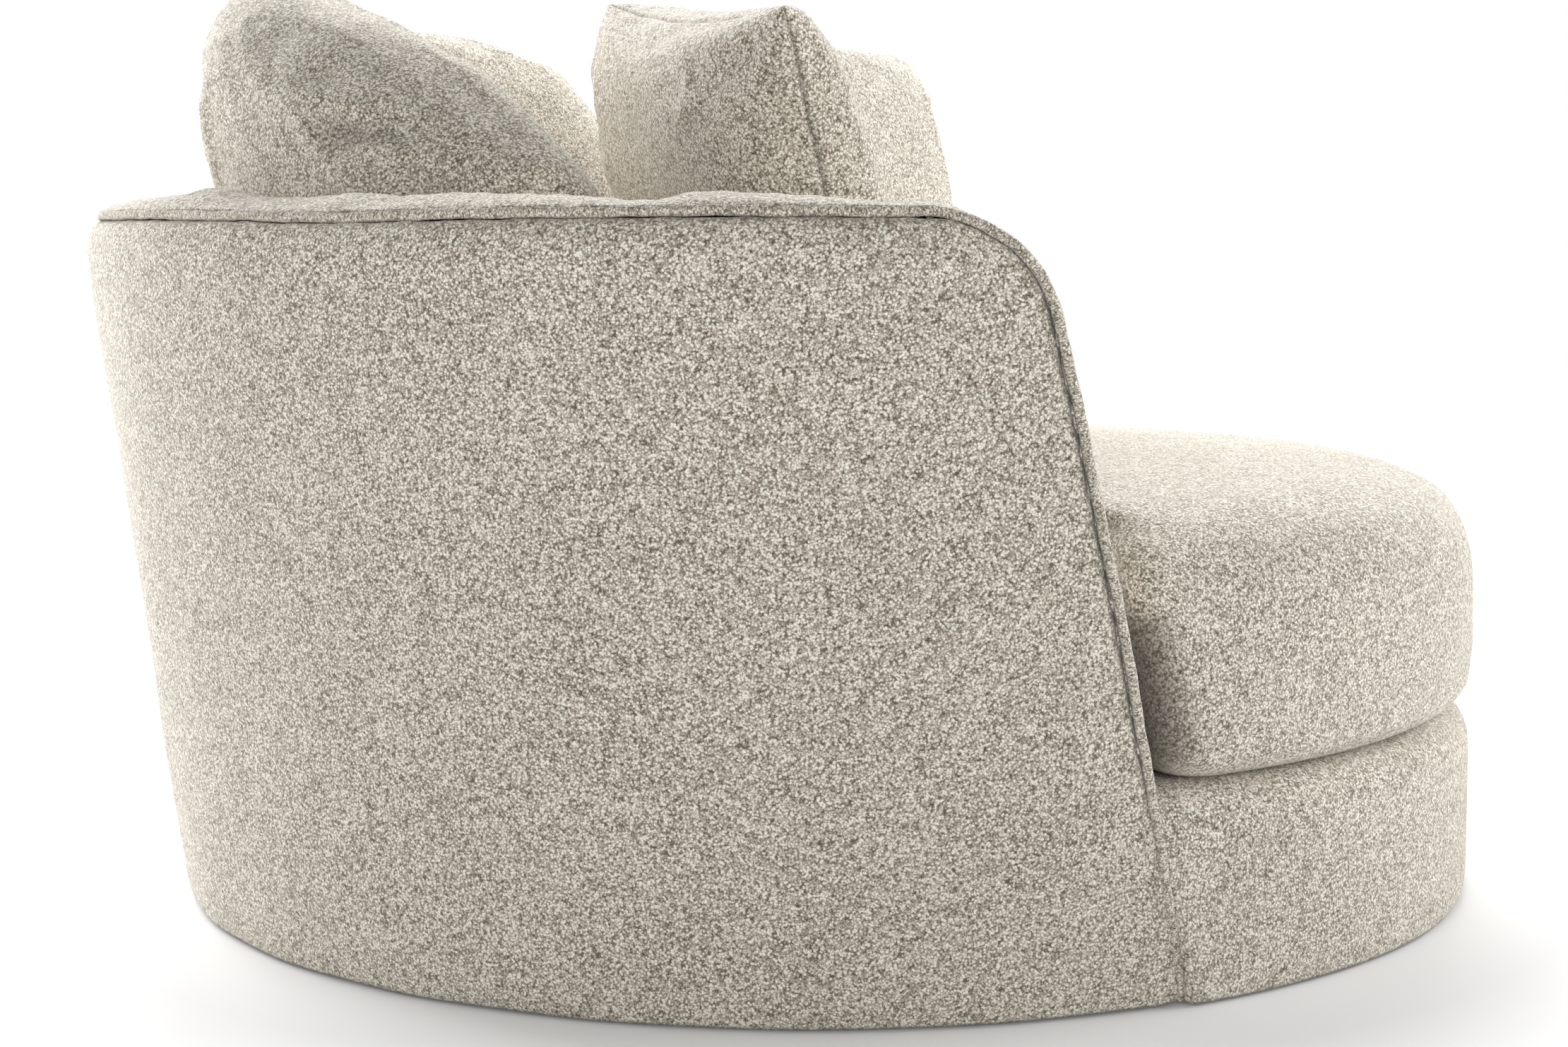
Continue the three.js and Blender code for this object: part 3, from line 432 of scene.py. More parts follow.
# Outside back: a wide curved panel that turns in along its seam with the welt
outsideCover = {
    "columns": 330,
    "rows": 84,
    "wall": 0.007,
    "turnIn": 0.0100,
    "turnInDepth": 0.0040,
    "turnInCurve": 2.1,
    "underSlope": 1.3,
    "edgeSteps": [
        -0.0034, -0.0017, 0, 0.0004, 0.0009, 0.0015, 0.0024, 0.0035, 0.0048, 0.0063, 0.0080, 0.0100, 0.0130,
    ],
    "edgeBand": 0.0175,
    "drawIn": 0.0008,
    "drawInReach": 0.02,
    "puckerHeight": 0.0008,
    "puckerReach": 0.030,
    "puckerRadius": 0.73,
    "puckerWaves": [(31, 0.6), (17, 0.8), (47, 0.4)],
    "waveRadius": 0.72,
    "waveHeight": 0.0010,
    "waveFrom": 0.08,
}


def seamFirm(z):
    # the seam flattens out towards the floor
    return 0.06 + 0.94 * smoothStep(z, 0.10, 0.27)


def seamDistance(share, z):
    # how far a point of the panel lies from its edge, along the arm or under the rim
    edge = seamLine["panelBack"]
    forward = (1 - np.abs(share)) * edgeTurn(z, edge) * wallRadius(z)
    return np.minimum(forward, tub["rimHeight"] - edge - z)


def seamShade(places):
    # dark where the panel turns in beside the welt, fading as the seam flattens
    turn = np.arctan2(places[:, 0], places[:, 1])
    z = places[:, 2]
    corner = tub["cornerRadius"]
    forward = (leanTurn(z) - np.abs(turn)) * wallRadius(z)
    below = tub["rimHeight"] - z
    inCorner = (forward < corner) & (below < corner)
    rounded = corner - np.hypot(corner - forward, corner - below)
    distance = np.where(inCorner, rounded, np.minimum(forward, below)) - seamLine["panelBack"]
    along = ripple(turn * 0.7 + z, 8, [(19, 0.5), (43, 0.4), (97, 0.35)])
    near = np.exp(-((np.maximum(0, distance) / (seamLine["shadeReach"] * (1 + 0.25 * along))) ** 2))
    return seamLine["shadeDepth"] * near * seamFirm(z) * (1 + 0.12 * along)


def softWaves(across, up, seed, count, lengths, height):
    # broad shallow waves over a surface, the sum of a few seeded ones
    rng = np.random.default_rng(seed)
    total = np.zeros(np.broadcast(across, up).shape)
    for _ in range(count):
        length = rng.uniform(*lengths)
        lean = rng.uniform(0, math.pi)
        phase = rng.uniform(0, 2 * math.pi)
        along = across * math.cos(lean) + up * math.sin(lean)
        total = total + np.sin(2 * math.pi * along / length + phase)
    return total * height / math.sqrt(count)


def makeOutsideBack():
    s = outsideCover
    edge = seamLine["panelBack"]
    # columns and rows lie closer together beside the edges
    steps = np.array(s["edgeSteps"])
    reach = float(wallRadius(0.4) * edgeTurn(0.4, 0))
    inner = np.linspace(-1 + s["edgeBand"] / reach, 1 - s["edgeBand"] / reach, s["columns"])
    share = np.concatenate([-1 + steps / reach, inner, (1 - steps / reach)[::-1]])
    low, high = tub["hemHeight"], tub["rimHeight"] - edge
    hem = np.linspace(low, low + tub["hemRound"], 9)[:-1]
    middle = np.linspace(low + tub["hemRound"], high - s["edgeBand"], s["rows"])
    z = np.concatenate([hem, middle, high - steps[::-1]])
    columns, rows = len(share), len(z)
    z = z[:, None] + 0 * share[None, :]
    share = share[None, :] + 0 * z
    # past its edge the panel runs on under the welt, square to the edge
    beside, above = np.maximum(0, np.abs(share) - 1) * reach, np.maximum(0, z - high)
    share, z = np.clip(share, -1, 1), np.minimum(z, high)
    rise = np.clip((z - (tub["rimHeight"] - tub["cornerRadius"])) / (tub["cornerRadius"] - edge), 0, 1)
    turn = share * (edgeTurn(z, edge) + beside * np.sqrt(1 - rise**2) / wallRadius(z))
    distance = np.maximum(0, seamDistance(share, z))
    under = np.maximum(beside, above)
    z = z + above + beside * rise
    curl = np.clip(1 - distance / s["turnIn"], 0, 1)
    dip = s["turnInDepth"] * curl ** s["turnInCurve"] * seamFirm(z)
    dip = dip + s["drawIn"] * np.exp(-distance / s["drawInReach"]) + under * s["underSlope"]
    pucker = ripple(turn * s["puckerRadius"] + z, 3, s["puckerWaves"]) * s["puckerHeight"]
    pucker = pucker * np.exp(-distance / s["puckerReach"])
    waves = softWaves(turn * s["waveRadius"], z, 11, 9, (0.16, 0.5), s["waveHeight"])
    waves = waves * np.clip(distance / s["waveFrom"], 0, 1)
    proud = pucker + waves - dip
    out, up = wallNormal(z)
    points = sagged(around(outerRadius(z) + proud * out, turn, z + proud * up)).reshape(-1, 3)
    faces = gridFaces(rows, columns)
    piece = finishPiece(
        "outsideBack", points, faces, "chair", fabric, ["outside_back"], s["wall"]
    )
    paintShade(piece, seamShade(placesOf(piece)))


makeOutsideBack()
print("outside back ready")


# Welt: a piped cord round the rim and down both arms, its cloth pulled into fine ridges across it
weltCord = {
    "radius": 0.0046,
    "set": 0.0026,
    "flushSet": 0.0044,
    "armAhead": 0.0030,
    "rimAhead": 0.0018,
    "sides": 10,
    "step": 0.00095,
    "ridges": 0.040,
    "ridgeWaves": [(331, 0.5), (263, 0.5), (171, 0.4), (61, 0.25), (23, 0.25)],
    "wobble": 0.0005,
    "wobbleWaves": [(5, 1.0), (13, 0.6), (29, 0.4)],
    "creaseAt": 108,
    "creaseReach": 32,
    "creaseShade": 0.75,
    "alongScale": 1.6,
    "acrossScale": 1.0,
}


def weltAhead(kind, value):
    share = {"arm": 0.0, "rim": 1.0}.get(kind, value / (math.pi / 2))
    return weltCord["armAhead"] + (weltCord["rimAhead"] - weltCord["armAhead"]) * share


def weltPlace(side, kind, value):
    turn, z = seamPlace(side, kind, value, weltAhead(kind, value))
    out, up = wallNormal(z)
    deep = weltCord["flushSet"] + (weltCord["set"] - weltCord["flushSet"]) * seamFirm(z)
    return around(outerRadius(z) - deep * out, turn, z - deep * up)


def makeWelt():
    s = weltCord
    levels = np.arange(tub["hemHeight"], tub["rimHeight"] - tub["cornerRadius"], s["step"])
    rimColumns = int(2 * tub["rimSpan"] * wallRadius(tub["rimHeight"]) / s["step"])
    stations = seamStations(levels, int(tub["cornerRadius"] * math.pi / 2 / s["step"]), rimColumns)
    centre = sagged(np.array([weltPlace(*station) for station in stations]))
    walked = np.concatenate([[0], np.cumsum(np.linalg.norm(np.diff(centre, axis=0), axis=1))])
    ahead = np.gradient(centre, axis=0)
    ahead /= np.linalg.norm(ahead, axis=1)[:, None]
    out = centre * [1, 1, 0]
    out /= np.linalg.norm(out, axis=1)[:, None]
    out -= ahead * np.sum(out * ahead, axis=1)[:, None]
    out /= np.linalg.norm(out, axis=1)[:, None]
    across = np.cross(ahead, out)
    girth = s["radius"] * (1 + s["ridges"] * ripple(walked, 5, s["ridgeWaves"]))
    centre = centre + across * (ripple(walked, 6, s["wobbleWaves"]) * s["wobble"])[:, None]
    angles = np.linspace(0, 2 * math.pi, s["sides"], endpoint=False)
    rings = centre[:, None] + girth[:, None, None] * (
        out[:, None] * np.cos(angles)[None, :, None] + across[:, None] * np.sin(angles)[None, :, None]
    )
    faces = gridFaces(len(centre), s["sides"], True)
    faces.append(tuple(range(s["sides"])))
    last = (len(centre) - 1) * s["sides"]
    faces.append(tuple(last + i for i in reversed(range(s["sides"]))))
    piece = finishPiece("pipedWelt", rings.reshape(-1, 3), faces, "chair", ridgedFabric, ["welt"])
    along = piece.data.uv_layers.new(name="along")
    side = np.arange(len(piece.data.vertices)) % s["sides"] * 360 / s["sides"]
    fromCrease = (side + s["creaseAt"] + 180) % 360 - 180
    near = np.exp(-((fromCrease / s["creaseReach"]) ** 2))
    paintShade(piece, s["creaseShade"] * near * seamFirm(placesOf(piece)[:, 2]))
    index = np.array([loop.vertex_index for loop in piece.data.loops])
    ring, place = index // s["sides"], index % s["sides"]
    half = s["sides"] // 2
    turned = (place + half) % s["sides"] - half
    wrapped = turned * 2 * math.pi * s["radius"] / s["sides"] * s["acrossScale"]
    places = np.stack([walked[ring] * s["alongScale"], wrapped], -1)
    along.data.foreach_set("uv", places.astype(np.float32).ravel())


makeWelt()
print("welt ready")


# Inside back: the foam's inner face, and the roll over the rim and the arm fronts out to the welt
insidePad = {
    "inset": 0.045,
    "foot": 0.172,
    "footWidth": 0.030,
    "footTo": 0.186,
    "fullFrom": 0.216,
    "wall": 0.006,
    "innerFullness": 2.35,
    "outerFullness": 1.42,
    "rollSteps": 40,
    "rimColumns": 420,
    "armRows": 150,
    "cornerSteps": 22,
    "armLip": 0.0030,
    "rimLip": 0.0050,
    "armSwell": 0.0085,
    "hemSwell": 0.0065,
    "hemSwellTo": 0.16,
    "armSwellFrom": 0.24,
    "swellByTurn": [
        (-101, 0.0095), (-97, 0.0075), (-94, 0.0080), (-92, 0.0103), (-90, 0.0124), (-87, 0.0155),
        (-83, 0.0175), (-81.3, 0.0155), (-79.5, 0.0105), (-77.7, 0.0100), (-75, 0.0125), (-70, 0.0162),
        (-65, 0.0180), (-61, 0.0163), (-59.5, 0.0150), (-56, 0.0177), (-51, 0.0162), (-48, 0.0152),
        (-45, 0.0165), (-41, 0.0225), (-37, 0.0235), (-32, 0.0195), (-20, 0.0170), (0, 0.0190),
        (18, 0.0165), (34, 0.0200), (52, 0.0150), (66, 0.0185), (76, 0.0125), (85, 0.0170),
        (94, 0.0095), (101, 0.0100),
    ],
    "puckerHeight": 0.0011,
    "waveHeight": 0.0012,
}


def innerFace(z):
    return wallRadius(z) - tub["thickness"]


def rollSection(s, side, kind, value, walked):
    # one section of the roll, from the inner face over the top to the welt
    inset = s["inset"]
    theta = np.linspace(0, math.pi, s["rollSteps"])
    power = 2 / np.where(theta < math.pi / 2, s["innerFullness"], s["outerFullness"])
    x = (1 - np.sign(np.cos(theta)) * np.abs(np.cos(theta)) ** power) / 2
    rise = np.abs(np.sin(theta)) ** power
    lip = s["armLip"]
    if kind == "rim":
        swell = np.interp(math.degrees(value), *zip(*s["swellByTurn"]))
        lip = s["rimLip"]
    elif kind == "corner":
        share = value / (math.pi / 2)
        swell = s["armSwell"] + (np.interp(side * 101, *zip(*s["swellByTurn"])) - s["armSwell"]) * share
        lip = s["armLip"] + (s["rimLip"] - s["armLip"]) * share
    else:
        swell = np.interp(value, [s["hemSwellTo"], s["armSwellFrom"]], [s["hemSwell"], s["armSwell"]])
    where = np.array(walked)
    swell = swell * (1 + 0.03 * ripple(where, 21, [(4.3, 1), (9.1, 0.7)]))
    swell = swell + s["puckerHeight"] * 0.5 * ripple(where, 22, [(27, 0.7), (41, 0.5)])
    # how far each point of the section lies over the inner edge
    over = np.where(theta < math.pi / 2, (inset + swell) * rise, inset + lip + (swell - lip) * rise)
    turn, z = seamPlace(side, kind, value, over - inset)
    edgeLevel = seamPlace(side, kind, value, 0.0)[1]
    out, up = wallNormal(edgeLevel)
    seam = outerRadius(edgeLevel) - weltCord["set"] * out - weltCord["radius"] * 0.1
    width = seam - innerFace(edgeLevel)
    if kind == "arm":
        width = np.interp(value, [s["footTo"], s["fullFrom"]], [s["footWidth"], width])
    inner = innerFace(z) if kind != "arm" else seam - width + 0 * x
    near = np.exp(-((math.pi - theta) / 0.5)) * (theta > math.pi / 2)
    pucker = s["puckerHeight"] * ripple(where, 23, [(31, 0.8), (53, 0.5)])
    radius = inner + x * (seam - inner) + pucker * near
    return sagged(around(radius, turn, z + 0 * x))


def makeInsideBack():
    s = insidePad
    armLevels = np.linspace(tub["hemHeight"], tub["rimHeight"] - tub["cornerRadius"], s["armRows"])
    stations = seamStations(armLevels, s["cornerSteps"], s["rimColumns"])
    walked, here, sections = 0.0, None, []
    for side, kind, value in stations:
        flat = rollSection(s, side, kind, value, walked)
        if here is not None:
            walked += float(np.linalg.norm(flat[-1] - here))
            flat = rollSection(s, side, kind, value, walked)
        here = flat[-1]
        sections.append(flat)
    band = np.array(sections)
    points = list(band.reshape(-1, 3))
    faces = gridFaces(len(stations), s["rollSteps"])

    # the inner face fills the space between the band's inner points, row by row
    first = int(np.searchsorted(armLevels, s["foot"]))
    leftIds = list(range(first, s["armRows"])) + [s["armRows"] + i for i in range(s["cornerSteps"] - 1)]
    total = len(stations)
    columns = s["rimColumns"]
    previous = None
    for row, station in enumerate(leftIds):
        left, right = station * s["rollSteps"], (total - 1 - station) * s["rollSteps"]
        a, b = band[station][0], band[total - 1 - station][0]
        level = a[2]
        turnA, turnB = math.atan2(a[0], a[1]), math.atan2(b[0], b[1])
        if station == leftIds[-1]:
            ids = [(s["armRows"] + s["cornerSteps"] - 2 + k) * s["rollSteps"] for k in range(columns)]
        else:
            turns = np.linspace(turnA, turnB, columns)
            waves = softWaves(turns * 0.6, level, 31, 7, (0.18, 0.5), s["waveHeight"])
            radii = innerFace(level) + waves * min(1, (leftIds[-1] - station) / 12)
            ids = [left]
            for turn, radius in zip(turns[1:-1], radii[1:-1]):
                ids.append(len(points))
                points.append(np.array([radius * math.sin(turn), radius * math.cos(turn), level]))
            ids.append(right)
        if previous:
            faces += [(previous[k], previous[k + 1], ids[k + 1], ids[k]) for k in range(columns - 1)]
        previous = ids
    finishPiece("insideBack", points, faces, "chair", fabric, ["inside_back"], s["wall"])


makeInsideBack()
print("inside back ready")


# Front border: the panel under the cushion, between the arm fronts
border = {
    "radius": 0.6659,
    "top": 0.191,
    "round": 0.045,
    "depth": 0.080,
    "gap": 0.0074,
    "endRound": 0.006,
    "hemEndRound": 0.0025,
    "flange": 0.007,
    "flangeDepth": 0.020,
    "wall": 0.006,
    "columns": 170,
    "waveHeight": 0.0008,
    "endSteps": [0, 0.0006, 0.0014, 0.0025, 0.004, 0.006, 0.009, 0.013],
    "endBand": 0.018,
    "endTuck": 0.8,
}


def borderSection(s):
    # from the hem up the face, over the rounded top and back under the cushion
    hem, tilt = np.linspace(0, 1, 8), np.linspace(0, math.pi / 2, 18)[1:]
    face = np.linspace(tub["hemHeight"] + tub["hemRound"], s["top"] - s["round"], 24)[1:]
    back = np.linspace(s["radius"] - s["round"], s["radius"] - s["depth"], 8)[1:]
    radius = np.concatenate([
        s["radius"] - tub["hemTuck"] * (1 - np.sqrt(1 - (1 - hem) ** 2)),
        np.full(len(face), s["radius"]), s["radius"] - s["round"] * (1 - np.cos(tilt)), back,
    ])
    level = np.concatenate([
        tub["hemHeight"] + tub["hemRound"] * hem, face,
        s["top"] - s["round"] * (1 - np.sin(tilt)), np.full(len(back), s["top"]),
    ])
    return radius, level


def makeFrontBorder():
    s = border
    sectionRadius, sectionLevel = borderSection(s)
    endSteps = np.array(s["endSteps"]) / (s["radius"] * 1.1)
    middle = np.linspace(-1 + s["endBand"], 1 - s["endBand"], s["columns"])
    share = np.concatenate([-1 + endSteps, middle, (1 - endSteps)[::-1]])
    beyond = np.concatenate([[1.0, 0.5], np.zeros(len(share)), [0.5, 1.0]])
    share = np.concatenate([[-1, -1], share, [1, 1]])
    z = sectionLevel[None, :] + 0 * share[:, None]
    end = math.pi - edgeTurn(np.minimum(z, tub["rimHeight"] - 0.1), 0) - s["gap"] / s["radius"]
    turn = share[:, None] * (end + beyond[:, None] * s["flange"] / s["radius"])
    fromEnd = np.maximum(0, (end - np.abs(turn)) * s["radius"])
    corner = s["hemEndRound"] + (s["endRound"] - s["hemEndRound"]) * smoothStep(z, 0.05, 0.16)
    turnedIn = corner * (1 - np.sqrt(1 - np.clip(1 - fromEnd / corner, 0, 1) ** 2))
    tuck = turnedIn * s["endTuck"] + s["flangeDepth"] * beyond[:, None]
    waves = softWaves(turn * s["radius"], z, 41, 7, (0.12, 0.4), s["waveHeight"])
    radius = sectionRadius[None, :] - tuck + waves * (z < s["top"] - 0.001)
    points = around(radius, math.pi + turn, z).reshape(-1, 3)
    faces = gridFaces(len(share), len(sectionLevel))
    finishPiece("frontBorder", points, faces, "chair", fabric, ["front_border"], s["wall"])


makeFrontBorder()
print("front border ready")


# Seat cushion: a soft loose drum with a round front, two ears beside the arms and no seam on top
cushion = {
    "bottom": 0.1913,
    "height": 0.243,
    "front": 0.669,
    "back": 0.564,
    "earGap": 0.0340,
    "earCorner": 0.030,
    "earShade": 0.72,
    "earShadeTop": 0.356,
    "earShadeStart": 0.002,
    "earShadeEnd": 0.046,
    "earShadeFade": 0.030,
    "earInner": 0.012,
    "earOuter": 0.070,
    "earCap": 0.052,
    "rings": 76,
    "frontSteps": 150,
    "cornerSteps": 12,
    "sideSteps": 22,
    "backSteps": 170,
    "outline": [
        (0.60, 0.0), (0.935, 0.0), (0.962, 0.014), (0.984, 0.056), (0.996, 0.17), (1.0, 0.34),
        (0.998, 0.52), (0.993, 0.63), (0.983, 0.72), (0.968, 0.79), (0.942, 0.858), (0.88, 0.932),
        (0.7, 0.977), (0.4, 0.995), (0.12, 1.0),
    ],
    "waveHeight": 0.0022,
    "closureFrom": math.radians(145),
    "closureTo": math.radians(149),
    "closureUp": 0.34,
    "folds": [
        {"from": (66.0, 0.405), "to": (59.5, 0.398), "width": 0.0055, "depth": 0.0050},
        {"from": (64.5, 0.393), "to": (60.5, 0.389), "width": 0.0060, "depth": -0.0022},
    ],
}


def smoothCurve(knots, count):
    # even steps along a smooth line through the knots
    knots = np.array(knots, float)
    lengths = np.concatenate([[0], np.cumsum(np.linalg.norm(np.diff(knots, axis=0), axis=1))])
    at = np.linspace(0, lengths[-1], count)
    slopes = np.gradient(knots, lengths, axis=0)
    place = np.clip(np.searchsorted(lengths, at, side="right") - 1, 0, len(knots) - 2)
    span = (lengths[place + 1] - lengths[place])[:, None]
    t = (at[:, None] - lengths[place][:, None]) / span
    a, b = knots[place], knots[place + 1]
    slopeA, slopeB = slopes[place] * span, slopes[place + 1] * span
    return a + (b - a) * t * t * (3 - 2 * t) + t * (1 - t) * ((1 - t) * slopeA - t * slopeB)


def cushionEar(z):
    return math.pi - edgeTurn(z, 0) - cushion["earGap"] / cushion["front"]


def cushionPlan(s, scale, z):
    # half of one level's outline: the front arc, the ear's round corner, its side and the back arc
    front, back, corner = s["front"] * scale, s["back"] * scale, s["earCorner"]
    ear = float(cushionEar(z)) - min((1 - scale) * s["front"], s["earCap"]) / s["front"]
    tilt = np.linspace(0, math.pi / 2, s["cornerSteps"] + 1)[:-1]
    start = ear - corner / (front - corner)
    side = np.linspace(0, 1, s["sideSteps"] + 1)[:-1]
    radius = np.concatenate([
        np.full(s["frontSteps"], front), front - corner + corner * np.cos(tilt),
        front - corner + (back - front + corner) * side, np.full(s["backSteps"] + 1, back),
    ])
    turn = np.concatenate([
        np.linspace(0, start, s["frontSteps"] + 1)[:-1], start + corner * np.sin(tilt) / (front - corner),
        ear + 0.010 * side**6, np.linspace(ear + 0.010, math.pi, s["backSteps"] + 1),
    ])
    return radius, turn


def pressedFolds(folds, turn, z):
    total, front = np.zeros_like(turn), cushion["front"]
    for fold in folds:
        a = np.array([math.radians(fold["from"][0]) * front, fold["from"][1]])
        b = np.array([math.radians(fold["to"][0]) * front, fold["to"][1]])
        place = np.stack([turn * front, z + 0 * turn], -1)
        share = np.clip((place - a) @ (b - a) / np.dot(b - a, b - a), 0, 1)
        distance = np.linalg.norm(place - a - share[:, None] * (b - a), axis=1)
        total += fold["depth"] * np.exp(-((distance / fold["width"]) ** 2)) * (1 - 0.7 * share)
    return total


def makeSeatCushion():
    s = cushion
    outline = smoothCurve(s["outline"], s["rings"])
    points = []
    for scale, up in outline:
        z = s["bottom"] + up * s["height"]
        halfRadius, half = cushionPlan(s, scale, z)
        radius = np.concatenate([halfRadius, halfRadius[1:-1][::-1]])
        turn = np.concatenate([half, -half[1:-1][::-1]])
        swell = softWaves(turn * 0.66 * scale, up * 0.3 + scale * 0.5, 51, 9, (0.14, 0.42), s["waveHeight"])
        swell = swell * min(1, up * 3) * min(1, (1 - up) * 8 + 0.3)
        closure = smoothStep(np.abs(turn), s["closureFrom"], s["closureTo"])
        closure = closure * float(smoothStep(abs(up - s["closureUp"]), 0.16, 0.08))
        swell = swell * (1 - 0.92 * closure)
        radius = radius + (swell - pressedFolds(s["folds"], turn, z)) * (0.25 < scale)
        points.append(around(radius, math.pi + turn, z + 0 * turn))
    points = np.array(points)
    rings, columns = points.shape[:2]
    flat = list(points.reshape(-1, 3))
    faces = gridFaces(rings, columns, True)
    bottom, top = len(flat), len(flat) + 1
    flat += [np.array([0, 0, s["bottom"]]), np.array([0, 0, s["bottom"] + s["height"]])]
    last = (rings - 1) * columns
    for j in range(columns):
        k = (j + 1) % columns
        faces += [(bottom, k, j), (top, last + j, last + k)]
    replaced = ["seat_cover", "seat_core"]
    piece = finishPiece("seatCushion", flat, faces, "seat_cushion", fabric, replaced)
    paintShade(piece, earShade(s, placesOf(piece)))


def earShade(s, places):
    # dark where the ear goes in beside the arm
    z = places[:, 2]
    turn = np.arctan2(np.abs(places[:, 0]), -places[:, 1])
    fromEar = (cushionEar(z) - turn) * s["front"]
    radius = np.hypot(places[:, 0], places[:, 1])
    outer = smoothStep(radius, s["back"] + s["earInner"], s["back"] + s["earOuter"])
    level = smoothStep(z, s["bottom"], s["bottom"] + s["earShadeFade"])
    level = level * smoothStep(z, s["earShadeTop"], s["earShadeTop"] - s["earShadeFade"])
    return s["earShade"] * smoothStep(fromEar, s["earShadeEnd"], s["earShadeStart"]) * level * outer


makeSeatCushion()
print("seat cushion ready")


# Loose pillows: two faces sewn together, blown up as cloth, then settled against the tub and the seat
pillowCloth = {
    "steps": 80,
    "frames": 26,
    "pressure": 4.0,
    "mass": 0.25,
    "tension": 20.0,
    "shear": 6.0,
    "bending": 0.6,
    "damping": 4.0,
    "unevenness": 0.0012,
    "cutShare": 0.90,
    "foldShadeDepth": 0.022,
    "seamShade": 0.55,
    "waveReach": 9,
    "waveCap": 0.0050,
    "shapeCap": 0.0030,
}
backPillow = {"width": 0.604, "height": 0.470, "thick": 0.215, "roundShare": 0.5, "drawShare": 0.02}
scatterPillow = {"width": 0.480, "height": 0.455, "thick": 0.182, "roundShare": 0.06, "drawShare": 0.075}
cushionTop = cushion["bottom"] + cushion["height"]
pillows = {
    "rightBackPillow": {
        "body": "right_back_pillow", "size": backPillow, "side": -1, "bend": 0.084, "droop": 0.163,
        "sag": 0.0195, "acrossShare": -0.5, "y": 0.417, "riseShare": 0.9945,
        "turn": 31.7, "lean": 18.7, "roll": -9,
        "seamPinch": 0.0, "seamCrease": 0.0,
        "pulls": [{"at": (-0.25, 0.97), "reach": 0.42, "face": "both", "move": (0.0, -0.013, 0.012)}],
        "backFolds": [
            {"from": (-0.28, 0.82), "to": (-0.66, 0.975), "width": 0.050, "depth": 0.017, "bow": 0.02},
            {"from": (0.24, 0.985), "to": (-0.04, 0.94), "width": 0.055, "depth": 0.010, "bow": -0.02},
            {"from": (-0.12, 0.90), "to": (-0.32, 0.96), "width": 0.045, "depth": 0.009},
            {"from": (-0.30, 0.76), "to": (-0.62, 0.82), "width": 0.070, "depth": 0.010},
            {"from": (-0.66, 0.76), "to": (-0.84, 0.90), "width": 0.055, "depth": 0.010},
        ],
    },
    "leftBackPillow": {
        "body": "left_back_pillow", "size": backPillow, "side": 1, "bend": 0.020, "droop": 0.105,
        "sag": 0.043, "acrossShare": 0.4566, "y": 0.424, "riseShare": 1.0966,
        "turn": -30, "lean": 21, "roll": -10,
        "seamPinch": 0.0, "seamCrease": 0.0,
    },
    "rightScatterPillow": {
        "body": "right_scatter_pillow", "size": scatterPillow, "side": 1, "bend": 0, "droop": 0,
        "sag": 0.0168, "acrossShare": -0.5417, "y": 0.054, "riseShare": 1.0097,
        "turn": 17.9, "lean": 22.2, "roll": -4.8,
        "seamPinch": 0.0036, "seamCrease": 0.9,
        "pulls": [
            {"at": (-1.0, 0.98), "reach": 0.40, "face": "both", "move": (0.0, -0.020, 0.0)},
            {"at": (-1.0, 0.45), "reach": 0.30, "face": "both", "move": (0.0, -0.006, 0.0)},
            {"at": (1.0, 0.05), "reach": 0.55, "face": "both", "move": (0.0, 0.018, 0.0)},
        ],
        "backFolds": [
            {"from": (-0.97, 0.93), "to": (-0.72, 0.72), "width": 0.075, "depth": 0.007, "bow": 0.02},
            {"from": (0.93, 0.96), "to": (0.45, 0.78), "width": 0.070, "depth": 0.005},
        ],
    },
    "leftScatterPillow": {
        "body": "left_scatter_pillow", "size": scatterPillow, "side": 1, "bend": 0, "droop": 0.034,
        "sag": 0.0032, "acrossShare": 0.5542, "y": -0.020, "riseShare": 1.0273,
        "turn": -27, "lean": 10, "roll": -2.5,
        "seamPinch": 0.0034, "seamCrease": 0.9,
    },
}


def settle(points, s):
    # bent round the tub, one upper corner drooping, the bottom sagging onto the seat
    size = s["size"]
    across, up = points[:, 0] / size["width"], points[:, 2] / size["height"]
    outward = np.maximum(0, s["side"] * across + 0.5)
    points = points.copy()
    points[:, 1] -= s["bend"] * 4 * across**2
    points[:, 2] -= s["droop"] * outward**2 * np.maximum(0, up + 0.5)
    points[:, 2] -= s["sag"] * np.maximum(0, 0.5 - up) ** 2
    return points


def standPillow(points, s):
    size = s["size"]
    turned = (
        Matrix.Rotation(math.radians(s["turn"]), 3, "Z")
        @ Matrix.Rotation(-math.radians(s["lean"]), 3, "X")
        @ Matrix.Rotation(math.radians(s["roll"]), 3, "Y")
    )
    level = cushionTop + s["riseShare"] * size["height"] / 2
    middle = np.array([s["acrossShare"] * size["width"], s["y"], level])
    return points @ np.array(turned).T + middle


def arcAlong(line, reach, half):
    # how far the cloth runs from the middle of a full pillow to each line
    fine = np.sin(np.linspace(0, math.pi / 2, 400))
    steps = np.hypot(np.diff(fine) * reach, np.diff(half * np.sqrt(1 - fine**4)))
    walked = np.concatenate([[0], np.cumsum(steps)])
    return np.sign(line) * np.interp(np.abs(line), fine, walked)


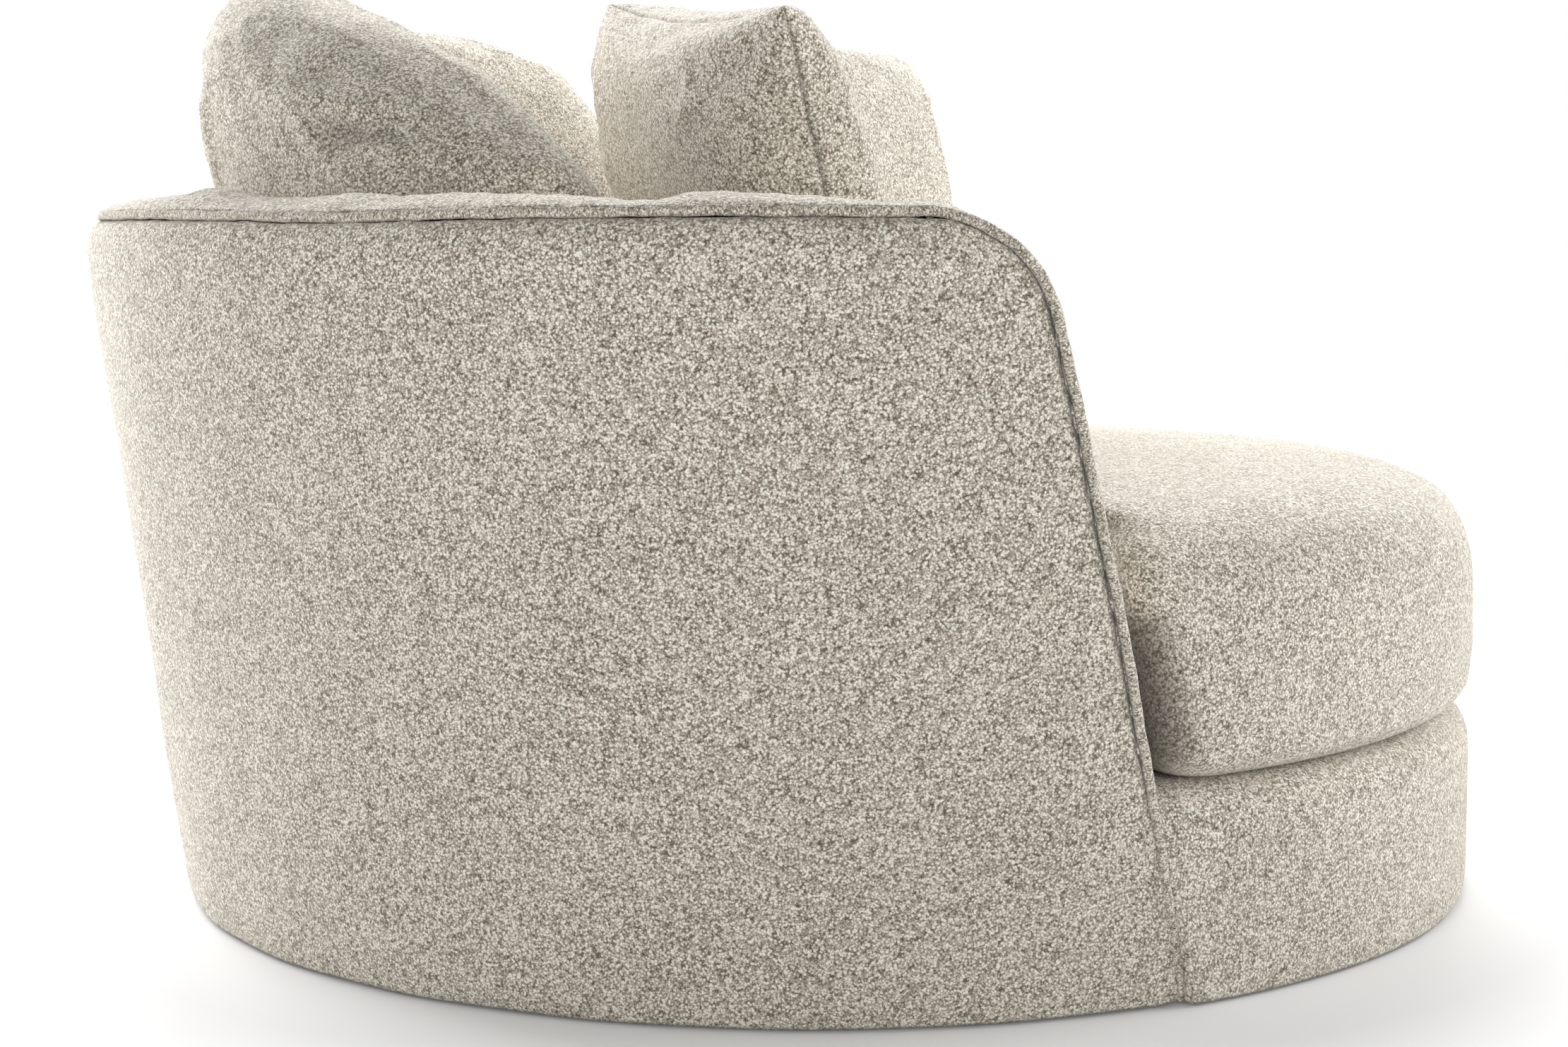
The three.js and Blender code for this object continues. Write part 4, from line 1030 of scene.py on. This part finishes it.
def pillowGrid(size, steps):
    # two square sheets that share their outer row; flat is how they were cut
    line = np.sin(np.linspace(-1, 1, steps + 1) * math.pi / 2)
    s, t = np.meshgrid(line, line, indexing="ij")

    def drawn(u, v):
        return np.sqrt(1 - size["roundShare"] * v * v / 2) * (1 - size["drawShare"] * (1 - v * v) * u * u)

    full = np.sqrt(np.maximum(0, (1 - s**4) * (1 - t**4)))
    x, z = size["width"] / 2 * s * drawn(s, t), size["height"] / 2 * t * drawn(t, s)
    seam = (np.abs(s) > 0.9999) | (np.abs(t) > 0.9999)
    front = np.arange(s.size).reshape(s.shape)
    back = np.where(seam, front, s.size + np.cumsum(~seam).reshape(s.shape) - 1)
    half = size["thick"] / 2
    ahead = np.stack([x, -half * full, z], -1).reshape(-1, 3)
    behind = np.stack([x, half * full, z], -1)[~seam]
    points = np.concatenate([ahead, behind])
    share = pillowCloth["cutShare"]
    cutX, cutZ = [share * arcAlong(line, size[way] / 2, half) for way in ("width", "height")]
    flat = np.stack([cutX[:, None] * drawn(s, t), -0.001 * full, cutZ[None, :] * drawn(t, s)], -1)
    cut = np.concatenate([flat.reshape(-1, 3), (flat * [1, -1, 1])[~seam]])
    quads = np.array(gridFaces(steps + 1, steps + 1))
    faces = [tuple(q) for q in front.ravel()[quads]] + [tuple(q[::-1]) for q in back.ravel()[quads]]
    return points, cut, faces, [front, back], (s, t)


def sheetNormal(sheet, points):
    grid = points[sheet]
    normal = np.cross(np.gradient(grid, axis=0), np.gradient(grid, axis=1))
    return normal / np.maximum(1e-9, np.linalg.norm(normal, axis=-1, keepdims=True))


def spread(grid, reach):
    # a weighted mean of each point's neighbours, along both ways of the sheet
    weights = np.exp(-((np.arange(-2 * reach, 2 * reach + 1) / reach) ** 2))
    weights /= weights.sum()
    for axis in (0, 1):
        sides = [(2 * reach, 2 * reach) if a == axis else (0, 0) for a in range(3)]
        wide = np.pad(grid, sides, mode="edge")
        count = grid.shape[axis]
        grid = sum(w * np.take(wide, range(k, k + count), axis=axis) for k, w in enumerate(weights))
    return grid


def held(move, cap):
    length = np.linalg.norm(move, axis=-1, keepdims=True)
    return move * cap * np.tanh(length / cap) / np.maximum(1e-9, length)


def startCloth(name, start, flat, faces, seed):
    s = pillowCloth
    uneven = np.random.default_rng(seed).uniform(-1, 1, len(start)) * s["unevenness"]
    mesh = bpy.data.meshes.new(name + "Cloth")
    mesh.from_pydata([tuple(p) for p in start + np.stack([0 * uneven, uneven, 0 * uneven], -1)], [], faces)
    sheet = bpy.data.objects.new(name + "Cloth", mesh)
    bpy.context.scene.collection.objects.link(sheet)
    sheet.shape_key_add(name="start")
    cut = sheet.shape_key_add(name="cut")
    cut.data.foreach_set("co", flat.astype(np.float32).ravel())
    cut.value = 0
    cloth = sheet.modifiers.new("cloth", "CLOTH").settings
    cloth.quality = 5
    cloth.mass = s["mass"]
    cloth.tension_stiffness = cloth.compression_stiffness = s["tension"]
    cloth.shear_stiffness = s["shear"]
    cloth.bending_stiffness = s["bending"]
    cloth.air_damping = s["damping"]
    cloth.use_pressure = True
    cloth.uniform_pressure_force = s["pressure"]
    cloth.rest_shape_key = cut
    cloth.effector_weights.gravity = 0
    return sheet


def blownUp(sheets):
    scene = bpy.context.scene
    for frame_ in range(1, pillowCloth["frames"] + 1):
        scene.frame_set(frame_)
    seen = bpy.context.evaluated_depsgraph_get()
    results = []
    for sheet in sheets:
        mesh = sheet.evaluated_get(seen).to_mesh()
        flat = np.empty(len(mesh.vertices) * 3)
        mesh.vertices.foreach_get("co", flat)
        results.append(flat.reshape(-1, 3))
    for sheet in sheets:
        bpy.data.objects.remove(sheet)
    scene.frame_set(1)
    return results


def creased(points, sheet, shares, folds):
    # folds pressed into one face: each is a line in shares of the face
    s, t = shares
    points = points.copy()
    normal = sheetNormal(sheet, points)
    depth = np.zeros_like(s)
    for fold in folds:
        place = np.stack([s, t], -1)
        a, b = np.array(fold["from"]), np.array(fold["to"])
        share = np.clip((place - a) @ (b - a) / np.dot(b - a, b - a), 0, 1)
        bow = fold.get("bow", 0) * 4 * share * (1 - share)
        across = np.array([-(b - a)[1], (b - a)[0]]) / np.linalg.norm(b - a)
        distance = np.linalg.norm(place - a - share[..., None] * (b - a) - bow[..., None] * across, axis=-1)
        fade = np.sin(math.pi * np.clip(0.12 + 0.76 * share, 0, 1))
        wide = distance / fold["width"]
        near = np.exp(-(wide**2)) - 0.35 * np.exp(-((wide / 2.4) ** 2))
        depth += fold["depth"] * near * fade
    inner = (1 - s**30) * (1 - t**30)
    outward = np.sign(np.sum(normal * (points[sheet] - points.mean(0)), -1).mean())
    points[sheet] -= outward * normal * (depth * inner)[..., None]
    return points, np.maximum(0, depth) * inner


def pulled(points, sheets, shares, pulls):
    # an ear or a shoulder drawn a little way, with the cloth round it following
    points = points.copy()
    for pull in pulls:
        away = ((shares[0] - pull["at"][0]) ** 2 + (shares[1] - pull["at"][1]) ** 2) / pull["reach"] ** 2
        move = np.zeros_like(points)
        for side, sheet in zip(("front", "back"), sheets):
            if pull["face"] in (side, "both"):
                move[sheet] = np.exp(-away)[..., None] * np.array(pull["move"])
        points += move
    return points


def makePillow(name, s, grid, blown):
    points, flat, faces, sheets, shares = grid
    start = settle(points, s)
    c = pillowCloth
    if blown is not None:
        moved = np.zeros_like(start)
        for sheet in sheets:
            move = (blown - start)[sheet]
            broad = spread(move, c["waveReach"])
            inner = (0.3 + 0.7 * (1 - shares[0] ** 6) * (1 - shares[1] ** 6))[..., None]
            moved[sheet] = held(move - broad, c["waveCap"]) * inner + held(broad, c["shapeCap"])
        start = start + moved
    # painted shade: the yarn darkens with the depth of each fold and along the sewn seam
    shade = np.zeros(len(start))
    for sheet, key in zip(sheets, ("frontFolds", "backFolds")):
        start, depth = creased(start, sheet, shares, s.get(key, []))
        shade[sheet] = np.maximum(shade[sheet], (depth - 0.002) / c["foldShadeDepth"])
    u, v = shares
    seam = (np.abs(u) > 0.9999) | (np.abs(v) > 0.9999)
    inward = np.stack([-u * s["size"]["width"], 0 * u, -v * s["size"]["height"]], -1)
    inward /= np.linalg.norm(inward, axis=-1, keepdims=True) + 1e-9
    start[sheets[0][seam]] += inward[seam] * s["seamPinch"]
    shade[sheets[0][seam]] = s["seamCrease"] * c["seamShade"]
    cad = [s["body"] + "_cover", s["body"] + "_filling"]
    placed = pulled(standPillow(start, s), sheets, shares, s.get("pulls", []))
    piece = finishPiece(name, placed, faces, s["body"], fabric, cad)
    paintShade(piece, shade)
    sharp = piece.data.attributes.new("crease_edge", "FLOAT", "EDGE")
    row = np.zeros(len(piece.data.vertices), bool)
    row[sheets[0][seam]] = True
    ends = np.array([edge.vertices[:] for edge in piece.data.edges])
    sharp.data.foreach_set("value", (row[ends].all(axis=1) * s["seamCrease"]).astype(np.float32))
    finer = piece.modifiers.new("finer", "SUBSURF")
    finer.levels = finer.render_levels = 1
    bpy.ops.object.modifier_apply(modifier=finer.name)
    return piece


def makePillows():
    grids = {name: pillowGrid(s["size"], pillowCloth["steps"]) for name, s in pillows.items()}
    blown = [None] * len(pillows)
    sheets = []
    for seed, (name, s) in enumerate(pillows.items()):
        points, flat, faces = grids[name][:3]
        sheets.append(startCloth(name, settle(points, s), flat, faces, 70 + seed))
    blown = blownUp(sheets)
    for (name, s), shape in zip(pillows.items(), blown):
        makePillow(name, s, grids[name], shape)


makePillows()
print("pillows ready")


# Zip: a long closure low on the cushion's back, with woven tape, coil teeth, a slider and its pull
seatZip = {
    "radius": 0.5645,
    "level": 0.27392,
    "halfSpan": math.radians(30),
    "tapeWidth": 0.024,
    "tapeThick": 0.0012,
    "toothPitch": 0.0030,
    "toothSize": (0.0016, 0.0018, 0.0034),
    "sliderTurn": math.radians(26.5),
}


def addBlock(name, place, size, bevel=0.0, steps=2):
    bpy.ops.object.select_all(action="DESELECT")
    bpy.ops.mesh.primitive_cube_add(size=1, location=place, scale=size)
    piece = bpy.context.object
    piece.name = name
    bpy.ops.object.transform_apply(location=True, rotation=True, scale=True)
    if bevel:
        rounded = piece.modifiers.new("rounded", "BEVEL")
        rounded.width = bevel
        rounded.segments = steps
        bpy.ops.object.modifier_apply(modifier=rounded.name)
    return piece


def spun(piece, angle, steps, copies, back=0.0):
    # turned about the chair's axis, as a swept band or as separate copies
    bpy.ops.object.select_all(action="DESELECT")
    piece.select_set(True)
    bpy.context.view_layer.objects.active = piece
    bpy.ops.object.mode_set(mode="EDIT")
    bpy.ops.mesh.select_all(action="SELECT")
    if back:
        bpy.ops.transform.rotate(value=back, orient_axis="Z", center_override=(0, 0, 0))
    if steps:
        bpy.ops.mesh.spin(steps=steps, dupli=copies, angle=angle, center=(0, 0, 0), axis=(0, 0, 1))
        bpy.ops.mesh.select_all(action="SELECT")
        bpy.ops.mesh.remove_doubles(threshold=0.00001)
        bpy.ops.mesh.normals_make_consistent(inside=False)
    bpy.ops.object.mode_set(mode="OBJECT")


def centred(piece):
    # turned in its mesh so that the band's middle lies at the cushion's back
    turned = np.array([v.co[:] for v in piece.data.vertices])
    middle = np.arctan2(turned[:, 0], turned[:, 1])
    shift = (middle.max() + middle.min()) / 2
    piece.data.transform(Matrix.Rotation(shift, 4, "Z"))


def makeZip():
    s = seatZip
    angle = 2 * s["halfSpan"]
    bpy.ops.object.select_all(action="DESELECT")
    middle = (0, s["radius"] + s["tapeThick"] / 2, s["level"])
    bpy.ops.mesh.primitive_plane_add(size=1, location=middle, rotation=(0, math.pi / 2, 0))
    tape = bpy.context.object
    tape.name = "zipTape"
    tape.scale = (s["tapeWidth"], s["tapeThick"], 1)
    bpy.ops.object.transform_apply(location=True, rotation=True, scale=True)
    spun(tape, angle, 90, False)
    centred(tape)
    dress(tape, "seat_cushion", tapeCloth, ["seat_zip"])

    count = int(angle * s["radius"] / s["toothPitch"])
    reach = s["radius"] + s["tapeThick"] + s["toothSize"][1] / 2 - 0.0004
    rows = []
    for side in (-1, 1):
        tooth = addBlock("tooth", (0, reach, s["level"] + side * 0.0011), s["toothSize"], 0.0004, 1)
        spun(tooth, angle, count, True, back=side * s["toothPitch"] / s["radius"] / 4)
        rows.append(tooth)
    for row in rows:
        row.select_set(True)
    bpy.ops.object.join()
    teeth = bpy.context.object
    teeth.name = "zipTeeth"
    centred(teeth)
    dress(teeth, "seat_cushion", coilNylon, None)

    body = addBlock("zipSlider", (0, reach + 0.0010, s["level"]), (0.0095, 0.0046, 0.0078), 0.0013, 3)
    bridge = addBlock("bridge", (0, reach + 0.0044, s["level"]), (0.0060, 0.0022, 0.0022), 0.0006, 2)
    bpy.ops.mesh.primitive_torus_add(
        location=(-0.0040, reach + 0.0048, s["level"]), rotation=(math.pi / 2, 0, 0),
        major_radius=0.0030, minor_radius=0.0007, major_segments=24, minor_segments=8,
    )
    ring = bpy.context.object
    bpy.ops.object.transform_apply(location=True, rotation=True, scale=True)
    pull = addBlock("pull", (-0.0165, reach + 0.0047, s["level"]), (0.0200, 0.0013, 0.0052), 0.0006, 2)
    for part in (bridge, ring, pull, body):
        part.select_set(True)
    bpy.context.view_layer.objects.active = body
    bpy.ops.object.join()
    body.data.transform(Matrix.Rotation(s["sliderTurn"], 4, "Z"))
    bpy.ops.object.shade_smooth_by_angle(angle=math.radians(40))
    dress(body, "seat_cushion", zincSteel, None)


# Finishes for the frame, the swivel and the linings
finishes = {
    "grainStretch": (0.045, 1.0, 1.0),
    "poreStretch": (30.0, 900.0, 900.0),
    "ringScale": 9.0,
    "pinePale": (0.62, 0.43, 0.23, 1),
    "pineDark": (0.33, 0.185, 0.08, 1),
    "webPale": (0.20, 0.17, 0.12, 1),
    "webDark": (0.05, 0.04, 0.03, 1),
    "liningPale": (0.66, 0.62, 0.54, 1),
    "liningDark": (0.34, 0.31, 0.25, 1),
    "tapePale": (0.56, 0.52, 0.44, 1),
    "tapeDark": (0.26, 0.235, 0.19, 1),
    "zincPale": (0.70, 0.70, 0.67, 1),
    "zincDark": (0.46, 0.47, 0.47, 1),
    "coilPale": (0.58, 0.54, 0.46, 1),
    "coilDark": (0.40, 0.37, 0.31, 1),
    "cagePale": (0.72, 0.71, 0.66, 1),
    "cageDark": (0.58, 0.57, 0.52, 1),
    "feltPale": (0.16, 0.155, 0.15, 1),
    "feltDark": (0.05, 0.05, 0.048, 1),
    "dustPale": (0.045, 0.045, 0.048, 1),
    "dustDark": (0.018, 0.018, 0.02, 1),
}


def scaledEach(tree, vector, factors):
    node = addNode(tree, "ShaderNodeVectorMath", operation="MULTIPLY")
    feed(tree, node, i0=vector, i1=factors)
    return node.outputs[0]


def woodGrain():
    # growth rings drawn out along X, fine pores over them and a broad change of tone
    tree, source, target = newGroup(
        "woodGrain",
        [
            ("Vector", "NodeSocketVector", None),
            ("Pale", "NodeSocketColor", (1, 1, 1, 1)), ("Dark", "NodeSocketColor", (0, 0, 0, 1)),
        ],
        [("Color", "NodeSocketColor"), ("Height", "NodeSocketFloat"), ("Roughness", "NodeSocketFloat")],
    )
    drawn = scaledEach(tree, source.outputs["Vector"], finishes["grainStretch"])
    rings = addNode(tree, "ShaderNodeTexWave", wave_type="RINGS", rings_direction="X")
    feed(tree, rings, Vector=drawn, Scale=finishes["ringScale"], Distortion=7.0)
    feed(tree, rings, Detail=3.0, Detail_Scale=2.2)
    fine = scaledEach(tree, source.outputs["Vector"], finishes["poreStretch"])
    pores = mapped(tree, noiseAt(tree, fine, 1.0, 3.0)[0], 0.35, 0.7, 0.0, 0.3)
    broad = mapped(tree, noiseAt(tree, source.outputs["Vector"], 6.0, 2.0)[0], 0.3, 0.7, -0.05, 0.2)
    tone = added(tree, added(tree, mapped(tree, rings.outputs["Fac"], 0.0, 1.0, 0.0, 0.55), pores), broad)
    color = mixColor(tree, tone, source.outputs["Pale"], source.outputs["Dark"])
    tree.links.new(color, target.inputs["Color"])
    tree.links.new(mathNode(tree, "SUBTRACT", 1.0, tone), target.inputs["Height"])
    tree.links.new(mapped(tree, tone, 0.0, 1.0, 0.55, 0.78), target.inputs["Roughness"])
    return tree


def plainWeave():
    # over and under threads both ways, with uneven yarn
    tree, source, target = newGroup(
        "plainWeave",
        [
            ("Vector", "NodeSocketVector", None), ("Threads", "NodeSocketFloat", 900.0),
            ("Pale", "NodeSocketColor", (1, 1, 1, 1)), ("Dark", "NodeSocketColor", (0, 0, 0, 1)),
        ],
        [("Color", "NodeSocketColor"), ("Height", "NodeSocketFloat")],
    )
    drift = noiseAt(tree, source.outputs["Vector"], 240.0, 2.0)
    bent = addNode(tree, "ShaderNodeVectorMath", operation="MULTIPLY_ADD")
    feed(tree, bent, i0=drift["Color"], i1=(0.0009, 0.0009, 0.0009), i2=source.outputs["Vector"])
    parts = addNode(tree, "ShaderNodeSeparateXYZ")
    feed(tree, parts, i0=bent.outputs[0])
    turns = []
    for k in range(3):
        counted = mathNode(tree, "MULTIPLY", parts.outputs[k], source.outputs["Threads"])
        turns.append(mathNode(tree, "SINE", counted))
    over = mathNode(tree, "MULTIPLY", added(tree, turns[0], turns[2]), turns[1])
    uneven = mapped(tree, noiseAt(tree, source.outputs["Vector"], 90.0, 4.0)[0], 0.3, 0.7, -0.15, 0.25)
    height = added(tree, mapped(tree, over, -1.0, 1.0, 0.0, 0.8), uneven)
    color = mixColor(tree, height, source.outputs["Dark"], source.outputs["Pale"])
    tree.links.new(color, target.inputs["Color"])
    tree.links.new(height, target.inputs["Height"])
    return tree


def woodMaterial(name, group, upright):
    material, tree, shader, place = newMaterial(name)
    if upright:
        parts = addNode(tree, "ShaderNodeSeparateXYZ")
        feed(tree, parts, i0=place)
        swapped = addNode(tree, "ShaderNodeCombineXYZ")
        feed(tree, swapped, i0=parts.outputs[2], i1=parts.outputs[0], i2=parts.outputs[1])
        place = swapped.outputs[0]
    grain = addNode(tree, "ShaderNodeGroup", node_tree=group)
    feed(tree, grain, Vector=place, Pale=finishes["pinePale"], Dark=finishes["pineDark"])
    feed(tree, shader, Base_Color=grain.outputs["Color"], Roughness=grain.outputs["Roughness"])
    bumpInto(tree, shader, grain.outputs["Height"], 0.35, 0.0004)
    return material


def wovenMaterial(name, group, threads, pale, dark):
    material, tree, shader, place = newMaterial(name)
    weave = addNode(tree, "ShaderNodeGroup", node_tree=group)
    feed(tree, weave, Vector=place, Threads=threads, Pale=finishes[pale], Dark=finishes[dark])
    rough = mapped(tree, weave.outputs["Height"], 0.0, 1.0, 0.95, 0.82)
    feed(tree, shader, Base_Color=weave.outputs["Color"], Roughness=rough)
    shader.inputs["Sheen Weight"].default_value = 0.15
    bumpInto(tree, shader, weave.outputs["Height"], 0.5, 0.0005)
    return material


def speckled(name, scale, pale, dark, rough, height, metallic=0.0, stretch=(1.0, 1.0, 1.0)):
    # a noise-led finish for metal, plastic, felt and pressed cloth
    material, tree, shader, place = newMaterial(name)
    fine = noiseAt(tree, scaledEach(tree, place, stretch), scale, 5.0, 0.65)
    broad = noiseAt(tree, place, scale / 14, 2.0)
    fleck, cloud = mapped(tree, fine[0], 0.3, 0.7, 0.0, 0.65), mapped(tree, broad[0], 0.35, 0.65, 0.0, 0.35)
    tone = added(tree, fleck, cloud)
    roughness = mapped(tree, tone, 0.0, 1.0, rough[1], rough[0])
    color = mixColor(tree, tone, finishes[dark], finishes[pale])
    feed(tree, shader, Base_Color=color, Roughness=roughness, Metallic=metallic)
    bumpInto(tree, shader, tone, 0.4, height)
    return material


def pressedCloth(name, pitch, pale, dark):
    # thin felted cloth with a grid of small pressed dots
    material, tree, shader, place = newMaterial(name)
    dots = addNode(tree, "ShaderNodeTexVoronoi", voronoi_dimensions="2D")
    feed(tree, dots, Vector=place, Scale=1 / pitch, Randomness=0.15)
    pressed = smoothMapped(tree, dots.outputs["Distance"], 0.15, 0.35, 0.0, 0.6)
    tone = added(tree, pressed, mapped(tree, noiseAt(tree, place, 700.0, 4.0)[0], 0.3, 0.7, 0.0, 0.4))
    rough = mapped(tree, tone, 0.0, 1.0, 0.7, 0.95)
    feed(tree, shader, Base_Color=mixColor(tree, tone, finishes[dark], finishes[pale]), Roughness=rough)
    bumpInto(tree, shader, tone, 0.5, 0.0003)
    return material


grainGroup = woodGrain()
weaveGroup = plainWeave()
pineUpright = woodMaterial("pineUpright", grainGroup, True)
pineLying = woodMaterial("pineLying", grainGroup, False)
webCloth = wovenMaterial("elasticWeb", weaveGroup, 1900.0, "webPale", "webDark")
liningCloth = wovenMaterial("deckLining", weaveGroup, 2600.0, "liningPale", "liningDark")
tapeCloth = wovenMaterial("zipTapeCloth", weaveGroup, 4200.0, "tapePale", "tapeDark")
zincSteel = speckled("zincSteel", 420.0, "zincPale", "zincDark", (0.28, 0.48), 0.00008, 1.0, (1.0, 1.0, 3.0))
coilNylon = speckled("coilNylon", 900.0, "coilPale", "coilDark", (0.35, 0.5), 0.00005)
cageNylon = speckled("cageNylon", 300.0, "cagePale", "cageDark", (0.32, 0.46), 0.00005)
padFelt = speckled("padFelt", 1500.0, "feltPale", "feltDark", (0.9, 0.98), 0.0006)
dustCloth = pressedCloth("dustCloth", 0.0021, "dustPale", "dustDark")
framePieces = {
    "webbing": webCloth, "steel": zincSteel, "nylon": cageNylon, "felt": padFelt, "dust_cloth": dustCloth,
}
for name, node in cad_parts.items():
    kind = node.material_slots[0].material.name
    if kind == "timber":
        node.material_slots[0].material = pineUpright if "post" in name or "leg" in name else pineLying
    elif kind in framePieces:
        node.material_slots[0].material = framePieces[kind]
makeZip()
print("zip and finishes ready")


# Seat deck: a thin lined pad over the woven straps
deck = {"radius": 0.560, "top": 0.191, "edge": 0.006, "bottom": 0.1755}


def makeDeckPad():
    s = deck
    radius, edge = s["radius"], s["edge"]
    profile = [(0.0, s["top"]), (radius - edge, s["top"])]
    for t in np.linspace(0.3, math.pi / 2, 5):
        profile.append((radius - edge * (1 - math.sin(t)), s["top"] - edge * (1 - math.cos(t))))
    profile += [(radius, s["bottom"] + edge), (radius - edge, s["bottom"]), (0.0, s["bottom"])]
    count = 120
    turns = np.linspace(0, 2 * math.pi, count, endpoint=False)
    points = [np.array([r * math.sin(t), r * math.cos(t), z]) for r, z in profile[1:-1] for t in turns]
    faces = gridFaces(len(profile) - 2, count, True)
    top, bottom = len(points), len(points) + 1
    points += [np.array([0, 0, s["top"]]), np.array([0, 0, s["bottom"]])]
    last = (len(profile) - 3) * count
    for j in range(count):
        k = (j + 1) % count
        faces += [(top, j, k), (bottom, last + k, last + j)]
    finishPiece("deckPad", points, faces, "chair", liningCloth, ["deck_pad"])


makeDeckPad()
print("deck ready")


# Floor and light: a white studio, lit from the far side and both ends
studio = {
    "floorHalf": 9.0,
    "floorColor": 0.80,
    "nearGlow": 0.08,
    "glowStart": 0.78,
    "glowEnd": 1.75,
    "airStrength": 0.15,
    "lamps": [
        ("farPanel", (2.2, 0.0, 2.6), (0, 0, 0.4), (3.0, 2.0), 172),
        ("leftPanel", (0.3, 3.0, 1.4), (0, 0, 0.5), (2.4, 2.2), 40),
        ("rightPanel", (0.3, -3.0, 1.4), (0, 0, 0.5), (2.4, 2.2), 82),
        ("leftFarPanel", (2.0, 2.4, 1.6), (0, 0, 0.5), (2.0, 2.0), 160),
        ("rightFarPanel", (2.0, -2.4, 1.6), (0, 0, 0.5), (2.0, 2.0), 20),
        ("frontPanel", (-3.4, 0.0, 1.2), (0, 0, 0.4), (2.4, 1.6), 40),
    ],
}


def seenPlainly(tree):
    # one where the camera, a reflection or clear glass looks, nought where light bounces
    light = addNode(tree, "ShaderNodeLightPath")
    glossy, clear = light.outputs["Is Glossy Ray"], light.outputs["Is Transmission Ray"]
    return mathNode(tree, "MAXIMUM", light.outputs["Is Camera Ray"], mathNode(tree, "MAXIMUM", glossy, clear))


def makeFloor(s):
    bpy.ops.mesh.primitive_plane_add(size=2 * s["floorHalf"], location=(0, 0, 0))
    floor = bpy.context.object
    floor.name = "studioFloor"
    material, tree, shader, place = newMaterial("floorPaper")
    grain = noiseAt(tree, place, 260.0, 2.0)
    low, high = s["floorColor"] - 0.01, s["floorColor"] + 0.01
    tone = mixColor(tree, grain[0], (low, low, low, 1), (high, high, high, 1))
    feed(tree, shader, Base_Color=tone, Roughness=0.95)
    shader.inputs["Specular IOR Level"].default_value = 0.0
    distance = addNode(tree, "ShaderNodeVectorMath", operation="LENGTH")
    feed(tree, distance, i0=place)
    glow = mapped(tree, distance.outputs["Value"], s["glowStart"], s["glowEnd"], s["nearGlow"], 1.0)
    seen = mathNode(tree, "MULTIPLY", glow, seenPlainly(tree))
    feed(tree, shader, Emission_Color=(1, 1, 1, 1), Emission_Strength=seen)
    floor.data.materials.append(material)
    return floor


def makeAir(s):
    air = bpy.data.worlds.new("studioAir")
    bpy.context.scene.world = air
    air.use_nodes = True
    tree = air.node_tree
    strength = mapped(tree, seenPlainly(tree), 0.0, 1.0, s["airStrength"], 1.0)
    feed(tree, tree.nodes["Background"], Color=(1, 1, 1, 1), Strength=strength)


def addLamp(name, place, aim, size, power):
    bpy.ops.object.light_add(type="AREA", location=place)
    lamp = bpy.context.object
    lamp.name = name
    lamp.data.shape = "RECTANGLE"
    lamp.data.size, lamp.data.size_y = size
    lamp.data.energy = power
    lamp.rotation_euler = (Vector(aim) - Vector(place)).to_track_quat("-Z", "Y").to_euler()
    return lamp


makeFloor(studio)
makeAir(studio)
for lamp in studio["lamps"]:
    addLamp(*lamp)
print("studio ready")

bpy.context.scene.view_settings.view_transform = "Standard"
